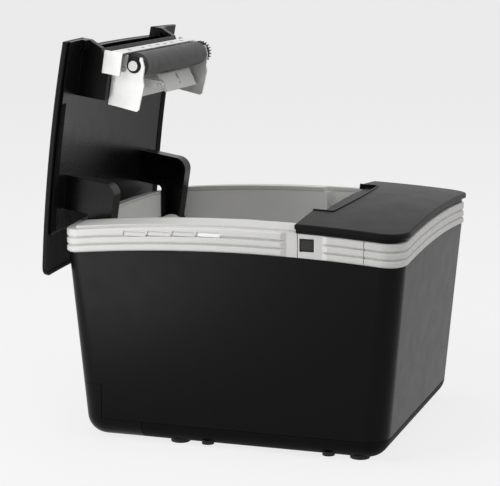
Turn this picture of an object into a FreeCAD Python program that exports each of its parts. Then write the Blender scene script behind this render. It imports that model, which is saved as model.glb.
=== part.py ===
"""Receipt printer with its lid standing open, in millimetres.

X runs to the right seen from the front, Y to the rear and Z up.  The pieces are laid out with the
underside of the base tray at Z = 0 and the lid shut.  The lid's pieces are then swung open, and
everything is moved so that the origin is the middle of the printer's footprint, on the table.
"""
import FreeCAD, Part
import math
import os

V = FreeCAD.Vector
ORIGIN = V(0, 0, 0)
RIGHT = V(1, 0, 0)
REARWARD = V(0, 1, 0)
FORWARD = V(0, -1, 0)
UP = V(0, 0, 1)

# General fits
GAP = 0.3                   # air between pieces that must not touch
FIT = 0.05                  # radial clearance of a shaft, pin or screw in its hole
SEAT = 0.1                  # air round a piece that is set into a recess
REACH = 400.0               # length of a cutting block that must pass right through

# Casing and base tray
CASE_W_TOP = 141.0
CASE_W_BOTTOM = 138.8
CASE_FRONT_TOP = 81.2       # from the middle to the front wall, at CASE_RIM_Z
CASE_REAR_TOP = 84.6        # from the middle to the rear wall, at CASE_RIM_Z
CASE_FRONT_BOTTOM = 73.5    # the same at the floor
CASE_REAR_BOTTOM = 76.6
CASE_FRONT_R = 10.0         # upright corners at the top
CASE_REAR_R = 8.5
CASE_FOOT_R = 11.5          # upright corners at the floor
CASE_BOTTOM_R = 10.0        # edge round the floor
CASE_WALL = 2.4
TRAY_RIM_Z = 9.2            # seam between tray and casing
DECK_Z = 98.0               # crown of the domed edge on which the trim sits
CASE_RIM_Z = DECK_Z - 7.0   # height at which the top sizes are taken

# The top of the printer is a shallow dome: one radius, one crown line
DOME_R = 800.0
DOME_Y = -5.0

# Trim band: three ridges under a flat margin and a raised plateau
TRIM_OVERHANG = 1.0         # trim crest outside the casing wall
TRIM_WALL = 2.2
RIDGE_DEPTH = 0.95
RIDGE_HEIGHTS = (3.6, 3.7, 4.0)   # lowest ridge first
RIDGE_GROOVE = 0.5          # flat floor between two ridges
RIDGE_ROUND = 0.85
NOSE_TAPER = 2.6            # length over which a ridge rises at its end
MARGIN_W = 3.4
PLATEAU_STEP = 1.0
TRIM_FRONT_END = -32.4      # seam between the trim and the side panels
PANEL_FRONT_END = -64.0     # seam between the side panels and the front trim
RIDGE_REAR_NOSE = -27.0     # the side ridges stop short of the seam on both sides
RIDGE_FRONT_NOSE = -44.0

# Lid and front cover
COVER_OVERHANG = 2.0        # cover edge outside the casing wall
COVER_CROWN = 16.2          # crown of the cover above the deck's crown
COVER_EDGE = 2.4
COVER_SKIN = 2.0
SPLIT_Y = -31.4             # parting line between lid and front cover
LID_REAR_INSET = 2.2        # lid's rear edge, inside the casing's rear wall
LID_REAR_R = 5.0
LID_SKIRT_REAR = 1.6        # thickness of the skirt at the rear
LID_SKIRT_LIFT = 2.6        # its lower edge above the trim's margin
LID_EDGE_ROUND = 0.8
RECESS_HALF = 43.0          # paper exit: recess in the cover and notch in the lid
RECESS_DEPTH_Y = 12.5
RECESS_SINK = 1.5
RECESS_BOW = 2.5
EXIT_HALF = 46.0
EXIT_NOTCH = 5.0
EXIT_MOUTH = 4.0

# Lid hinge
HINGE_FROM_REAR = 11.9      # hinge line in front of the casing's rear wall
HINGE_DROP = 13.4           # hinge line below the deck's crown
OPEN_ANGLE = 81.2
HINGE_PIN_R = 2.5
KNUCKLE_R = 7.0
KNUCKLE_IN = 33.0
KNUCKLE_OUT = 45.0
ARM_IN = 45.3
ARM_W = 8.4
ARM_WALL = 1.8
ARM_END_R = 6.2
ARM_FRONT = 34.8            # front edge of the arm, shut
ARM_BEND = 52.0             # where the neck leaves the lid
ARM_NECK_Z = DECK_Z - 4.0
ARM_LOW_Z = DECK_Z - 16.2
ARM_CORNER_R = 6.5
ARM_EDGE = 0.6

# Lid inner frame
PANEL_INSET = 2.6
PANEL_T = 1.4
PANEL_REAR = 62.0
HOUSING_HALF = 50.0
HOUSING_WALL = 1.8
HOUSING_REAR = -3.6
HOUSING_LOW_REAR = DECK_Z - 3.4
HOUSING_LOW_FRONT = DECK_Z + 1.6
HOUSING_NOSE_Z = DECK_Z + 8.4
HOUSING_CHIN_Y = -28.2
EAR_OUT = 54.0
EAR_T = 4.6
FRAME_CORNER_R = 2.0

# Platen roller
PLATEN_Y = -22.2
PLATEN_DROP = 14.2          # roller axis below the deck's crown, shut
ROLLER_R = 5.9
ROLLER_HALF = 41.0
SHAFT_R = 2.4
SHAFT_CORE_R = 3.2
SHAFT_LEFT = 47.0
SHAFT_RIGHT = 50.4
BUSH_R = 3.6
BUSH_FLANGE_R = 4.4
BUSH_FLANGE_T = 0.8

# Platen bracket, counter blade and flap
BRACKET_HALF = 45.4
PLATE_T = 1.0
BRACKET_WEB_Z = DECK_Z - 4.6
BRACKET_WEB_FRONT = -19.0
BRACKET_WEB_REAR = -1.5
BRACKET_LOW_Z = DECK_Z - 19.6
BRACKET_FRONT = -26.6
BRACKET_NOSE_R = 3.0
BRACKET_HOLE_R = 1.4
BRACKET_SCREW_X = 27.2
BRACKET_HOLE_Y = -19.6
BRACKET_HOLE_Z = DECK_Z - 9.0
BLADE_T = 0.8
COUNTER_Y = PLATEN_Y - ROLLER_R + 0.3
COUNTER_LOW = DECK_Z - 9.6
COUNTER_HIGH = DECK_Z - 3.6
COUNTER_HALF = 47.0
COUNTER_TAB_LONG = 11.0
COUNTER_TAB_TALL = 6.2
COUNTER_HOLES = (-34.0, -16.0, -6.0, 4.0, 14.0, 24.0, 38.0)
COUNTER_HOLE_W = 3.2
COUNTER_HOLE_H = 2.2
FLAP_LEFT = -1.0
FLAP_RIGHT = 41.0
FLAP_T = 1.5
FLAP_PIN_R = 1.1
FLAP_PIN_Y = -8.6
FLAP_PIN_Z = DECK_Z - 12.6
FLAP_HUB_R = 2.2
FLAP_FRONT_Y = -14.4
FLAP_FRONT_Z = DECK_Z - 11.4
FLAP_REAR_Y = -6.2
FLAP_REAR_Z = DECK_Z - 17.0
FLAP_SLOT_W = 2.4
FLAP_SLOT_L = 4.6

# Gear train
MODULE = 0.5
PLATEN_TEETH = 22
IDLER_TEETH = 44
PINION_TEETH = 14
TOOTH_SHARE = 0.36          # tooth thickness over pitch, on the pitch circle
TOOTH_TIP = 0.9             # addendum in modules
TOOTH_ROOT = 1.25           # dedendum in modules
TOOTH_AT_TIP = 0.5          # half width at the tip, over that on the pitch circle
TOOTH_AT_ROOT = 1.5         # the same at the root
GEAR_SLACK = 0.1            # added to each centre distance
GEAR_X = 45.9
GEAR_W = 3.6
IDLER_ANGLE = -100.0        # from the roller to the idler, seen from the right
PINION_ANGLE = -150.0       # from the idler to the motor
STUD_R = 1.5
MOTOR_SHAFT_R = 1.0
MOTOR_R = 17.5
MOTOR_L = 12.4
MOTOR_EAR_R = 4.0
MOTOR_EAR_PITCH = 21.0
MOTOR_EAR_T = 1.0
MOTOR_EAR_ANGLES = (90, 270)

# Chassis and print head
CHASSIS_HALF = 52.0
SHEET_T = 1.2
CHASSIS_FRONT = -62.0
CHASSIS_REAR = -14.0
CHASSIS_FOOT = 7.0
CHASSIS_WEB_Z = 38.0
CHASSIS_TOP = DECK_Z - 7.4
CHASSIS_STEP_Y = -33.0
CHASSIS_STEP_Z = DECK_Z - 24.0
HEAD_HALF = 40.0
HEAD_T = 1.0
HEAD_NIP = 0.35             # paper gap between heater line and roller
HEAD_LOW = DECK_Z - 26.0
HEAD_HIGH = DECK_Z - 9.4
SINK_T = 6.0
SINK_RIBS = 6
SINK_RIB_T = 1.2
SINK_SLOT = 3.0
HEAD_ROD_R = 1.5
HEAD_ROD_Z = DECK_Z - 23.8
HEAD_LUG = 4.0              # lug of the heat sink round the rod
SPRING_WIRE = 0.8
SPRING_R = 3.0
SPRING_TURNS = 5
SPRING_X = 26.0
SPRING_Z = DECK_Z - 16.0
SPRING_BAR_Y = -48.0
SPRING_BAR_T = 1.2
SPRING_BAR_LOW = DECK_Z - 36.0

# Cutter
CUTTER_FRONT = -72.0
CUTTER_REAR = -34.0
CUTTER_HALF = 54.0
CUTTER_BED_T = 1.2
KNIFE_T = 0.7
KNIFE_HALF = 43.0
KNIFE_FRONT = -62.0
KNIFE_EDGE = -36.4
KNIFE_TRAVEL = 8.0
KNIFE_VEE = 2.0
RAIL_W = 3.0
RAIL_LIP = 1.2
RACK_TEETH = 12
CUTTER_PINION_TEETH = 14
CUTTER_PINION_W = 3.0
CUTTER_PINION_Y = -50.0
CUTTER_MOTOR_R = 10.0
CUTTER_MOTOR_L = 24.0

# Paper bucket
BUCKET_SIDE_ROOM = 1.3      # between an arm and the side wall
BUCKET_HALF = ARM_IN + ARM_W + BUCKET_SIDE_ROOM
BUCKET_WALL = 1.8
BUCKET_STEP_Y = -9.0        # in front of this the side walls stand further out
BUCKET_FRONT_HALF = 62.0
BUCKET_FRONT_LOW = DECK_Z - 17.0
BUCKET_REAR_INSET = 6.3     # inner face of the rear wall from the trim's crest
BUCKET_FLOOR_STEP = DECK_Z - 28.0
BUCKET_REAR_STEP = 2.8      # the rear wall stands further in below the hinge
BUCKET_REAR_STEP_Z = DECK_Z - 20.5
ROLL_R = 41.5
ROLL_HALF = 40.0
ROLL_SLACK = 2.5
ROLL_DROP = 33.0            # roll axis below the deck's crown
ROLL_Y = 34.0
BUCKET_FRONT_Z = DECK_Z - 24.0

# Side panels, button and status lights
BUTTON_Y = -36.7
BUTTON_W = 6.4
BUTTON_H = 5.5
BUTTON_RISE = 2.65          # button's middle above the first groove
BUTTON_SINK = 0.6
BUTTON_L = 5.2
BUTTON_FLANGE = 1.0
BUTTON_TRAVEL = 1.2
BUTTON_ROUND = 0.5
SWITCH_W = 6.0
SWITCH_L = 3.4
BOSS_R = 1.5
BOSS_AHEAD = 8.0            # bosses of the switch board, in front of the button
BOARD_T = 1.6
LIGHTS = 4
LIGHT_PITCH = 12.3
LIGHT_L = 11.2
LIGHT_H = 1.9
LIGHT_FIRST_Y = 10.7
LIGHT_DEPTH = 4.7
LIGHT_SINK = 0.35

# Feet, screws, board and sockets
FOOT_R = 4.75
FOOT_H = 1.2
FOOT_SINK = 0.8
FOOT_X = 59.0
FOOT_REAR_Y = 29.6
FOOT_FRONT_Y = -60.0
SCREW_R = 1.5
SCREW_HEAD_R = 3.0
SCREW_HEAD_T = 2.0
SCREW_L = 16.0
POST_R = 4.6
POST_INSET = 3.4            # post axis inside the casing's inner wall
POST_H = 22.0
POST_FRONT_Y = -46.0
POST_REAR_Y = 14.0
MAIN_BOARD_HALF = 50.0
MAIN_BOARD_FRONT = 2.0
MAIN_BOARD_REAR = 62.0
STANDOFF_R = 2.6
STANDOFF_H = 3.6
STANDOFF_INSET = 5.0
SOCKET_H = 11.0
SOCKET_L = 14.0
SOCKET_PROUD = 2.0
POWER_W = 15.0
POWER_X = -30.0
POWER_HOLE_R = 4.4
USB_W = 12.0
USB_X = 0.0
USB_HOLE_W = 8.4
USB_HOLE_H = 7.6
DRAWER_W = 14.0
DRAWER_X = 28.0
DRAWER_HOLE_W = 10.0
DRAWER_HOLE_H = 7.0
SOCKET_HOLE_L = 9.0
PIN_R = 0.5
PIN_L = 6.0
PIN_ANGLES = (90, 210, 330)
TONGUE_T = 2.0
CHIP_W = 12.0
CHIP_PITCH_X = 25.0
CHIP_PITCH_Y = 14.0
CHIP_PLACES = ((-1, 1), (0, 1), (1, 1), (-1, 2), (1, 2))   # in pitches
MECH_SCREW_R = 1.5
MECH_SCREW_HEAD_R = 2.6
MECH_SCREW_HEAD_T = 1.4

# Cable cover at the rear
BAY_TOP_Z = 26.3
BAY_SIDE_Y = 66.5
BAY_FLOOR_Y = 46.2
CABLE_NOTCH_HALF = 16.0
CABLE_NOTCH_H = 9.0

# Values worked out from the driving dimensions
HINGE_Y = CASE_REAR_TOP - HINGE_FROM_REAR
HINGE_Z = DECK_Z - HINGE_DROP
PLATEN_Z = DECK_Z - PLATEN_DROP
RIDGE_FLOORS = [DECK_Z + sum(RIDGE_HEIGHTS[:i]) for i in range(len(RIDGE_HEIGHTS) + 1)]
MARGIN_TOP = RIDGE_FLOORS[-1]
PLATEAU_TOP = MARGIN_TOP + PLATEAU_STEP
COVER_TOP = DECK_Z + COVER_CROWN
COVER_LOW = COVER_TOP - COVER_EDGE
TRIM_HALF = CASE_W_TOP / 2 + TRIM_OVERHANG
TRIM_FRONT = -(CASE_FRONT_TOP + TRIM_OVERHANG)
TRIM_REAR = CASE_REAR_TOP + TRIM_OVERHANG
COVER_HALF = CASE_W_TOP / 2 + COVER_OVERHANG
COVER_FRONT = -(CASE_FRONT_TOP + COVER_OVERHANG)
LID_REAR = CASE_REAR_TOP - LID_REAR_INSET
BUCKET_REAR = TRIM_REAR - BUCKET_REAR_INSET
ROLL_Z = DECK_Z - ROLL_DROP


def box(x0, x1, y0, y1, z0, z1):
    """A block between two corners."""
    return Part.makeBox(x1 - x0, y1 - y0, z1 - z0, V(x0, y0, z0))


def rod(radius, start, length, direction):
    """A round bar from a point along a direction."""
    return Part.makeCylinder(radius, length, start, direction)


def tube(radius, bore, start, length, direction):
    """A round bar with a hole along its axis."""
    return rod(radius, start, length, direction).cut(rod(bore, start, length, direction))


def join(shapes):
    """One solid from several that touch or overlap."""
    shapes = list(shapes)
    first = shapes[0]
    return first.multiFuse(shapes[1:]).removeSplitter() if len(shapes) > 1 else first


def mirrored(shape):
    """The same shape on the other side of the printer."""
    return shape.mirror(ORIGIN, RIGHT)


def both_sides(shape):
    """A shape and its mirror image, as separate solids."""
    return [shape, mirrored(shape)]


def plate_yz(points, x0, thickness):
    """A flat plate standing across X, from its (y, z) outline."""
    corners = [V(x0, y, z) for y, z in points]
    face = Part.Face(Part.makePolygon(corners + corners[:1]))
    return face.extrude(RIGHT * thickness)


def outline(x0, x1, y0, y1, front_r, rear_r, z):
    """A rectangle with round corners, as a closed wire at one height."""
    def corner(x, y, from_x, from_y, radius):
        near = V(x, y + from_y * radius, z)
        far = V(x + from_x * radius, y, z)
        inset = radius * (1 - math.sqrt(0.5))
        middle = V(x + from_x * inset, y + from_y * inset, z)
        return near, middle, far

    front_right = corner(x1, y0, -1, 1, front_r)
    rear_right = corner(x1, y1, -1, -1, rear_r)
    rear_left = corner(x0, y1, 1, -1, rear_r)
    front_left = corner(x0, y0, 1, 1, front_r)
    turns = [front_right[::-1], rear_right, rear_left[::-1], front_left]
    lines = []
    for i, turn in enumerate(turns):
        lines.append(Part.Arc(*turn).toShape())
        lines.append(Part.makeLine(turn[-1], turns[(i + 1) % len(turns)][0]))
    return Part.Wire(lines)


def slab(x0, x1, y0, y1, front_r, rear_r, z0, z1):
    """An upright block with round corners."""
    return Part.Face(outline(x0, x1, y0, y1, front_r, rear_r, z0)).extrude(UP * (z1 - z0))


def dome(crown):
    """The ball whose top is the shallow dome with its crown at this height."""
    return Part.makeSphere(DOME_R, V(0, DOME_Y, crown - DOME_R), FORWARD)


def dome_z(crown, x, y):
    """Height of that dome above a point of the plan."""
    return crown - DOME_R + math.sqrt(DOME_R ** 2 - x ** 2 - (y - DOME_Y) ** 2)


def layer(shape, low, high):
    """The part of a shape between two domes."""
    return shape.common(dome(high)).cut(dome(low))


def long_edges(shape, test):
    """The edges whose middle point passes a test."""
    found = []
    for edge in shape.Edges:
        middle = edge.valueAt((edge.FirstParameter + edge.LastParameter) / 2)
        if test(middle):
            found.append(edge)
    return found


def swing_open(shape):
    """A lid piece moved from shut to open about the hinge line."""
    moved = shape.copy()
    moved.rotate(V(0, HINGE_Y, HINGE_Z), RIGHT, -OPEN_ANGLE)
    return moved


def case_block(inset, z0, z1):
    """The tapering body of the printer between two heights, drawn in by an inset."""
    def between(bottom, top, z):
        return bottom + (top - bottom) * z / CASE_RIM_Z - inset

    wires = []
    for z in (z0, z1):
        half = between(CASE_W_BOTTOM / 2, CASE_W_TOP / 2, z)
        front = between(CASE_FRONT_BOTTOM, CASE_FRONT_TOP, z)
        rear = between(CASE_REAR_BOTTOM, CASE_REAR_TOP, z)
        front_r = between(CASE_FOOT_R, CASE_FRONT_R, z)
        rear_r = between(CASE_FOOT_R, CASE_REAR_R, z)
        wires.append(outline(-half, half, -front, rear, front_r, rear_r, z))
    return Part.makeLoft(wires, True, True)


def floor_round(block, radius, floor):
    """The same block with the edge round its floor rounded."""
    return block.makeFillet(radius, long_edges(block, lambda p: abs(p.z - floor) < FIT))


def case_half(z):
    """Half the casing's outer width at a height."""
    return (CASE_W_BOTTOM + (CASE_W_TOP - CASE_W_BOTTOM) * z / CASE_RIM_Z) / 2


def case_outside():
    """The body as one solid, with its rounded floor edge."""
    return floor_round(case_block(0, 0, DECK_Z + CASE_WALL), CASE_BOTTOM_R, 0)


def case_shell():
    """The whole outer wall and floor, before it is parted into casing, tray and cable cover."""
    inside = case_block(CASE_WALL, CASE_WALL, DECK_Z + 2 * CASE_WALL)
    return case_outside().cut(floor_round(inside, CASE_BOTTOM_R - CASE_WALL, CASE_WALL))


def bay_block(grow):
    """The corner of the body that the cable cover takes up, larger by a gap."""
    low = box(-REACH, REACH, BAY_FLOOR_Y - grow, REACH, -REACH, TRAY_RIM_Z + grow)
    high = box(-REACH, REACH, BAY_SIDE_Y - grow, REACH, -REACH, BAY_TOP_Z + grow)
    return low.fuse(high).removeSplitter()


def post_places():
    """Plan positions of the posts that screw the casing to the tray."""
    x = case_half(TRAY_RIM_Z) - CASE_WALL - POST_INSET
    return [(side * x, y) for side in (-1, 1) for y in (POST_FRONT_Y, POST_REAR_Y)]


def outer_casing(shell):
    """Black body wall, open at the top and bottom, with four screw posts inside."""
    rim = TRAY_RIM_Z + GAP / 2
    wall = shell.common(dome(DECK_Z)).cut(box(-REACH, REACH, -REACH, REACH, -REACH, rim))
    posts = []
    for x, y in post_places():
        post = tube(POST_R, SCREW_R + FIT, V(x, y, rim), POST_H, UP)
        posts.append(post.common(case_block(CASE_WALL / 2, 0, DECK_Z)))
    return join([wall.cut(bay_block(GAP / 2))] + posts)


def foot_places():
    """Plan positions of the four feet."""
    return [(side * FOOT_X, y) for side in (-1, 1) for y in (FOOT_FRONT_Y, FOOT_REAR_Y)]


def board_places():
    """Plan positions of the main board's standoffs."""
    x = MAIN_BOARD_HALF - STANDOFF_INSET
    ys = (MAIN_BOARD_FRONT + STANDOFF_INSET, BAY_FLOOR_Y - STANDOFF_INSET)
    return [(side * x, y) for side in (-1, 1) for y in ys]


def base_tray(shell):
    """Shallow pan that closes the body from below."""
    rim = TRAY_RIM_Z - GAP / 2
    pan = shell.common(box(-REACH, REACH, -REACH, REACH, -REACH, rim)).cut(bay_block(GAP / 2))
    posts = [rod(POST_R, V(x, y, CASE_WALL / 2), rim - CASE_WALL / 2, UP) for x, y in post_places()]
    posts += [rod(STANDOFF_R, V(x, y, CASE_WALL / 2), STANDOFF_H + CASE_WALL / 2, UP)
              for x, y in board_places()]
    pan = join([pan] + [post.common(case_outside()) for post in posts])
    for x, y in post_places():
        pan = pan.cut(rod(SCREW_R + SEAT, V(x, y, -REACH / 2), REACH, UP))
        pan = pan.cut(rod(SCREW_HEAD_R + GAP, V(x, y, -SCREW_HEAD_T), 2 * SCREW_HEAD_T + GAP, UP))
    for x, y in foot_places():
        pan = pan.cut(rod(FOOT_R + SEAT, V(x, y, -FOOT_SINK), 2 * FOOT_SINK, UP))
    return pan


def cable_cover(shell):
    """Corner cover at the rear that pulls off over the sockets, with a notch for the cables."""
    cover = shell.common(bay_block(-GAP / 2))
    notch = box(-CABLE_NOTCH_HALF, CABLE_NOTCH_HALF, BAY_SIDE_Y, REACH, -REACH, CABLE_NOTCH_H)
    return cover.cut(notch)


def rubber_feet():
    """Four round feet set into the tray."""
    feet = []
    for x, y in foot_places():
        foot = rod(FOOT_R, V(x, y, -FOOT_H), FOOT_H + FOOT_SINK, UP)
        low = long_edges(foot, lambda p: p.z < -FOOT_H + FIT)
        feet.append(foot.makeFillet(FOOT_H / 3, low))
    return feet


def case_screws():
    """Four screws that hold the casing to the tray from below."""
    screws = []
    for x, y in post_places():
        head = rod(SCREW_HEAD_R, V(x, y, GAP / 2), SCREW_HEAD_T, UP)
        shank = rod(SCREW_R, V(x, y, GAP / 2), SCREW_L, UP)
        socket = rod(SCREW_R, V(x, y, 0), SCREW_HEAD_T / 2, UP)
        screws.append(head.fuse(shank).cut(socket))
    return screws


def trim_plan(inset, z0, z1):
    """An upright block with the trim's plan, drawn in by an inset."""
    return slab(-TRIM_HALF + inset, TRIM_HALF - inset, TRIM_FRONT + inset, TRIM_REAR - inset,
                CASE_FRONT_R + TRIM_OVERHANG - inset, CASE_REAR_R + TRIM_OVERHANG - inset, z0, z1)


def trim_ring(inset, thickness):
    """An upright wall that follows the trim's plan."""
    low = DECK_Z - COVER_CROWN
    return trim_plan(inset, low, COVER_TOP).cut(trim_plan(inset + thickness, low, COVER_TOP))


def ridge(index):
    """One bulging ridge of the trim band, all the way round."""
    last = index == len(RIDGE_HEIGHTS) - 1
    low = RIDGE_FLOORS[index] + RIDGE_GROOVE / 2
    high = RIDGE_FLOORS[index + 1] - (0 if last else RIDGE_GROOVE / 2)
    ring = layer(trim_ring(0, RIDGE_DEPTH + TRIM_WALL / 2), low, high)
    inner = trim_plan(RIDGE_DEPTH, 0, 2 * COVER_TOP)

    def crest(p):
        on_dome = min(abs(p.z - dome_z(low, p.x, p.y)), abs(p.z - dome_z(high, p.x, p.y))) < FIT
        return on_dome and not inner.isInside(p, FIT, True)

    return ring.makeFillet(RIDGE_ROUND, long_edges(ring, crest))


def ridge_noses(ridges, y, ahead):
    """The ridges on one side of a place along the side wall, each ending in a rounded nose there."""
    ended = []
    for index, shape in enumerate(ridges):
        radius = RIDGE_HEIGHTS[index] / 2
        middle = dome_z(RIDGE_FLOORS[index] + radius, TRIM_HALF, y)
        start = y + ahead * radius
        far = y + ahead * REACH
        keep = box(-REACH, REACH, min(start, far), max(start, far), -REACH, REACH)
        tip = rod(radius, V(-REACH, start, middle), 2 * REACH, RIGHT)
        kept = shape.common(keep.fuse(tip))
        risen = y + ahead * NOSE_TAPER
        ramp = [
            V(TRIM_HALF - RIDGE_DEPTH, y, 0),
            V(TRIM_HALF, risen, 0),
            V(REACH, risen, 0),
            V(REACH, y, 0),
        ]
        wedge = Part.Face(Part.makePolygon(ramp + ramp[:1])).extrude(UP * REACH)
        ended.append(kept.cut(wedge).cut(mirrored(wedge)))
    return ended


def trim_band():
    """The light band round the top, before it is parted into trim, side panels and front trim."""
    core = layer(trim_ring(RIDGE_DEPTH, TRIM_WALL), DECK_Z + SEAT, MARGIN_TOP)
    return core, [ridge(i) for i in range(len(RIDGE_HEIGHTS))]


def plateau_block(inset, rear, low, high):
    """A layer of the flat top between the margin and the paper bucket, as a U round the bucket."""
    outer = trim_plan(inset, 0, 2 * COVER_TOP).common(box(-REACH, REACH, -REACH, rear, 0, REACH))
    return layer(outer.cut(bucket_space(0)), low, high)


def bucket_space(grow):
    """The clear well of the bucket seen from above, larger by a wall."""
    rear = box(-BUCKET_HALF - grow, BUCKET_HALF + grow, BUCKET_STEP_Y - grow, BUCKET_REAR + grow,
               CASE_RIM_Z / 2, COVER_TOP)
    front = box(-BUCKET_FRONT_HALF - grow, BUCKET_FRONT_HALF + grow, -REACH, BUCKET_STEP_Y + grow,
                CASE_RIM_Z / 2, COVER_TOP)
    return rear.fuse(front)


def light_places():
    """Middle of each status light, on the ridge above the second groove."""
    x = -TRIM_HALF + RIDGE_DEPTH
    places = []
    for i in range(LIGHTS):
        y = LIGHT_FIRST_Y + i * LIGHT_PITCH
        places.append((y, dome_z(RIDGE_FLOORS[2] + LIGHT_H / 2 - SEAT, x, y)))
    return places


def light_windows(grow):
    """Clear windows of the status lights, or the slots for them when grown."""
    face = -TRIM_HALF + LIGHT_SINK - (TRIM_WALL if grow else 0)
    depth = LIGHT_DEPTH + (TRIM_WALL if grow else 0)
    return [box(face, face + depth, y - LIGHT_L / 2 - grow, y + LIGHT_L / 2 + grow,
                z - LIGHT_H / 2 - grow, z + LIGHT_H / 2 + grow) for y, z in light_places()]


def light_board():
    """Small circuit board behind the status lights."""
    x = -TRIM_HALF + LIGHT_SINK + LIGHT_DEPTH + SEAT
    first = light_places()[0]
    last = light_places()[-1]
    return box(x, x + BOARD_T, first[0] - LIGHT_L / 2, last[0] + LIGHT_L / 2,
               last[1] - LIGHT_H, last[1] + LIGHT_H / 2 + GAP)


def top_trim(core, ridges):
    """Light band and plateau round the sides and rear, which the lid shuts on."""
    keep = box(-REACH, REACH, TRIM_FRONT_END + GAP / 2, REACH, -REACH, REACH)
    under = PLATEAU_TOP - TRIM_WALL
    margin = plateau_block(RIDGE_DEPTH + TRIM_WALL / 2, REACH, under, MARGIN_TOP)
    raised = plateau_block(MARGIN_W, BUCKET_REAR, under, PLATEAU_TOP)
    parts = [core, margin, raised] + ridge_noses(ridges, RIDGE_REAR_NOSE, 1)
    trim = join(parts).common(keep)
    for slot in light_windows(SEAT):
        trim = trim.cut(slot)
    return trim


def panel_stretch():
    """The stretch of side wall that a side panel takes up, on the left."""
    return box(-REACH, 0, PANEL_FRONT_END + GAP / 2, TRIM_FRONT_END - GAP / 2, -REACH, REACH)


def side_panel(core, ridges):
    """Left side panel: a flat face and the start of the ridges."""
    parts = [core] + ridge_noses(ridges, RIDGE_FRONT_NOSE, -1)
    return join(parts).common(panel_stretch())


def button_middle():
    """Height of the button's middle."""
    return dome_z(RIDGE_FLOORS[1] + BUTTON_RISE, -TRIM_HALF, BUTTON_Y)


def button_block(x0, x1, grow):
    """A block with the button's plan between two X values."""
    z = button_middle()
    half_w = BUTTON_W / 2 + grow
    half_h = BUTTON_H / 2 + grow
    return box(x0, x1, BUTTON_Y - half_w, BUTTON_Y + half_w, z - half_h, z + half_h)


def button_panel(core, ridges):
    """Left side panel with the square hole of the feed button."""
    face = -TRIM_HALF + RIDGE_DEPTH + TRIM_WALL / 2
    bosses = []
    for rise in (-1, 1):
        start = V(face, BUTTON_Y - BOSS_AHEAD, button_middle() + rise * BOSS_R)
        bosses.append(rod(BOSS_R - SEAT, start, switch_tip() + SWITCH_L - face, RIGHT))
    return join([side_panel(core, ridges)] + bosses).cut(button_block(-REACH, 0, GAP))


def feed_button():
    """Square push button with a collar behind the panel."""
    face = -TRIM_HALF + RIDGE_DEPTH + BUTTON_SINK
    inner = -TRIM_HALF + RIDGE_DEPTH + TRIM_WALL + GAP
    cap = button_block(face, face + BUTTON_L, 0)
    cap = cap.makeFillet(BUTTON_ROUND, long_edges(cap, lambda p: p.x < face + FIT))
    collar = button_block(inner, inner + BUTTON_FLANGE, BUTTON_FLANGE)
    return cap.fuse(collar).removeSplitter()


def switch_tip():
    """Tip of the switch's plunger, clear of the button pressed home."""
    return -TRIM_HALF + RIDGE_DEPTH + BUTTON_SINK + BUTTON_L + BUTTON_TRAVEL + GAP


def button_switch():
    """Switch behind the button, on its own small board."""
    tip = switch_tip()
    back = tip + SWITCH_L
    z = button_middle()
    case = box(tip + BUTTON_FLANGE, back, BUTTON_Y - SWITCH_W / 2, BUTTON_Y + SWITCH_W / 2,
               z - SWITCH_W / 2, z + SWITCH_W / 2)
    plunger = rod(SWITCH_W / 4, V(tip, BUTTON_Y, z), SWITCH_L / 2, RIGHT)
    board = box(back, back + BOARD_T, BUTTON_Y - BOSS_AHEAD - SWITCH_W / 2, BUTTON_Y + SWITCH_W / 2,
                z - SWITCH_W / 2, z + SWITCH_W / 2)
    return join([case, plunger, board])


def front_trim(core, ridges):
    """Light band round the front."""
    keep = box(-REACH, REACH, -REACH, PANEL_FRONT_END - GAP / 2, -REACH, REACH)
    return join([core] + ridges).common(keep)


def cover_plan(inset):
    """Upright block with the plan of the lid and front cover together."""
    half = COVER_HALF - inset
    front_r = CASE_FRONT_R + COVER_OVERHANG - inset
    rear_r = LID_REAR_R - min(inset, LID_REAR_R / 2)
    return slab(-half, half, COVER_FRONT + inset, LID_REAR - inset, front_r, rear_r, 0, 2 * COVER_TOP)


def recess_block():
    """Paper exit recess of the front cover, with a bowed front edge."""
    rear = SPLIT_Y + RECESS_DEPTH_Y
    front = SPLIT_Y - RECESS_DEPTH_Y
    left = V(-RECESS_HALF, front + RECESS_BOW, 0)
    right = V(RECESS_HALF, front + RECESS_BOW, 0)
    far_right = V(RECESS_HALF, rear, 0)
    far_left = V(-RECESS_HALF, rear, 0)
    lines = [
        Part.Arc(left, V(0, front, 0), right).toShape(),
        Part.makeLine(right, far_right),
        Part.makeLine(far_right, far_left),
        Part.makeLine(far_left, left),
    ]
    return Part.Face(Part.Wire(lines)).extrude(UP * REACH)


def front_cover():
    """Black cover over the cutter, with the recess of the paper exit at its rear edge."""
    ahead = box(-REACH, REACH, -REACH, SPLIT_Y, -REACH, REACH)
    plate = layer(cover_plan(0).common(ahead), COVER_LOW, COVER_TOP)
    plate = plate.makeFillet(LID_EDGE_ROUND, [e for e in plate.Edges if crown_edge(e, COVER_TOP)])
    lip = cover_plan(COVER_OVERHANG).cut(cover_plan(COVER_OVERHANG + COVER_SKIN)).common(ahead)
    lip = layer(lip, MARGIN_TOP + GAP, COVER_LOW + COVER_SKIN / 2)
    cover = join([plate, lip])
    sunk = recess_block().cut(dome(COVER_TOP - RECESS_SINK))
    mouth = box(-RECESS_HALF, RECESS_HALF, SPLIT_Y - EXIT_MOUTH, REACH, -REACH, REACH)
    return cover.cut(sunk).cut(mouth)


def crown_edge(edge, crown):
    """Whether an edge lies on the dome with this crown."""
    ends = [edge.valueAt(edge.FirstParameter), edge.valueAt(edge.LastParameter)]
    return all(abs(p.z - dome_z(crown, p.x, p.y)) < FIT for p in ends)


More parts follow.
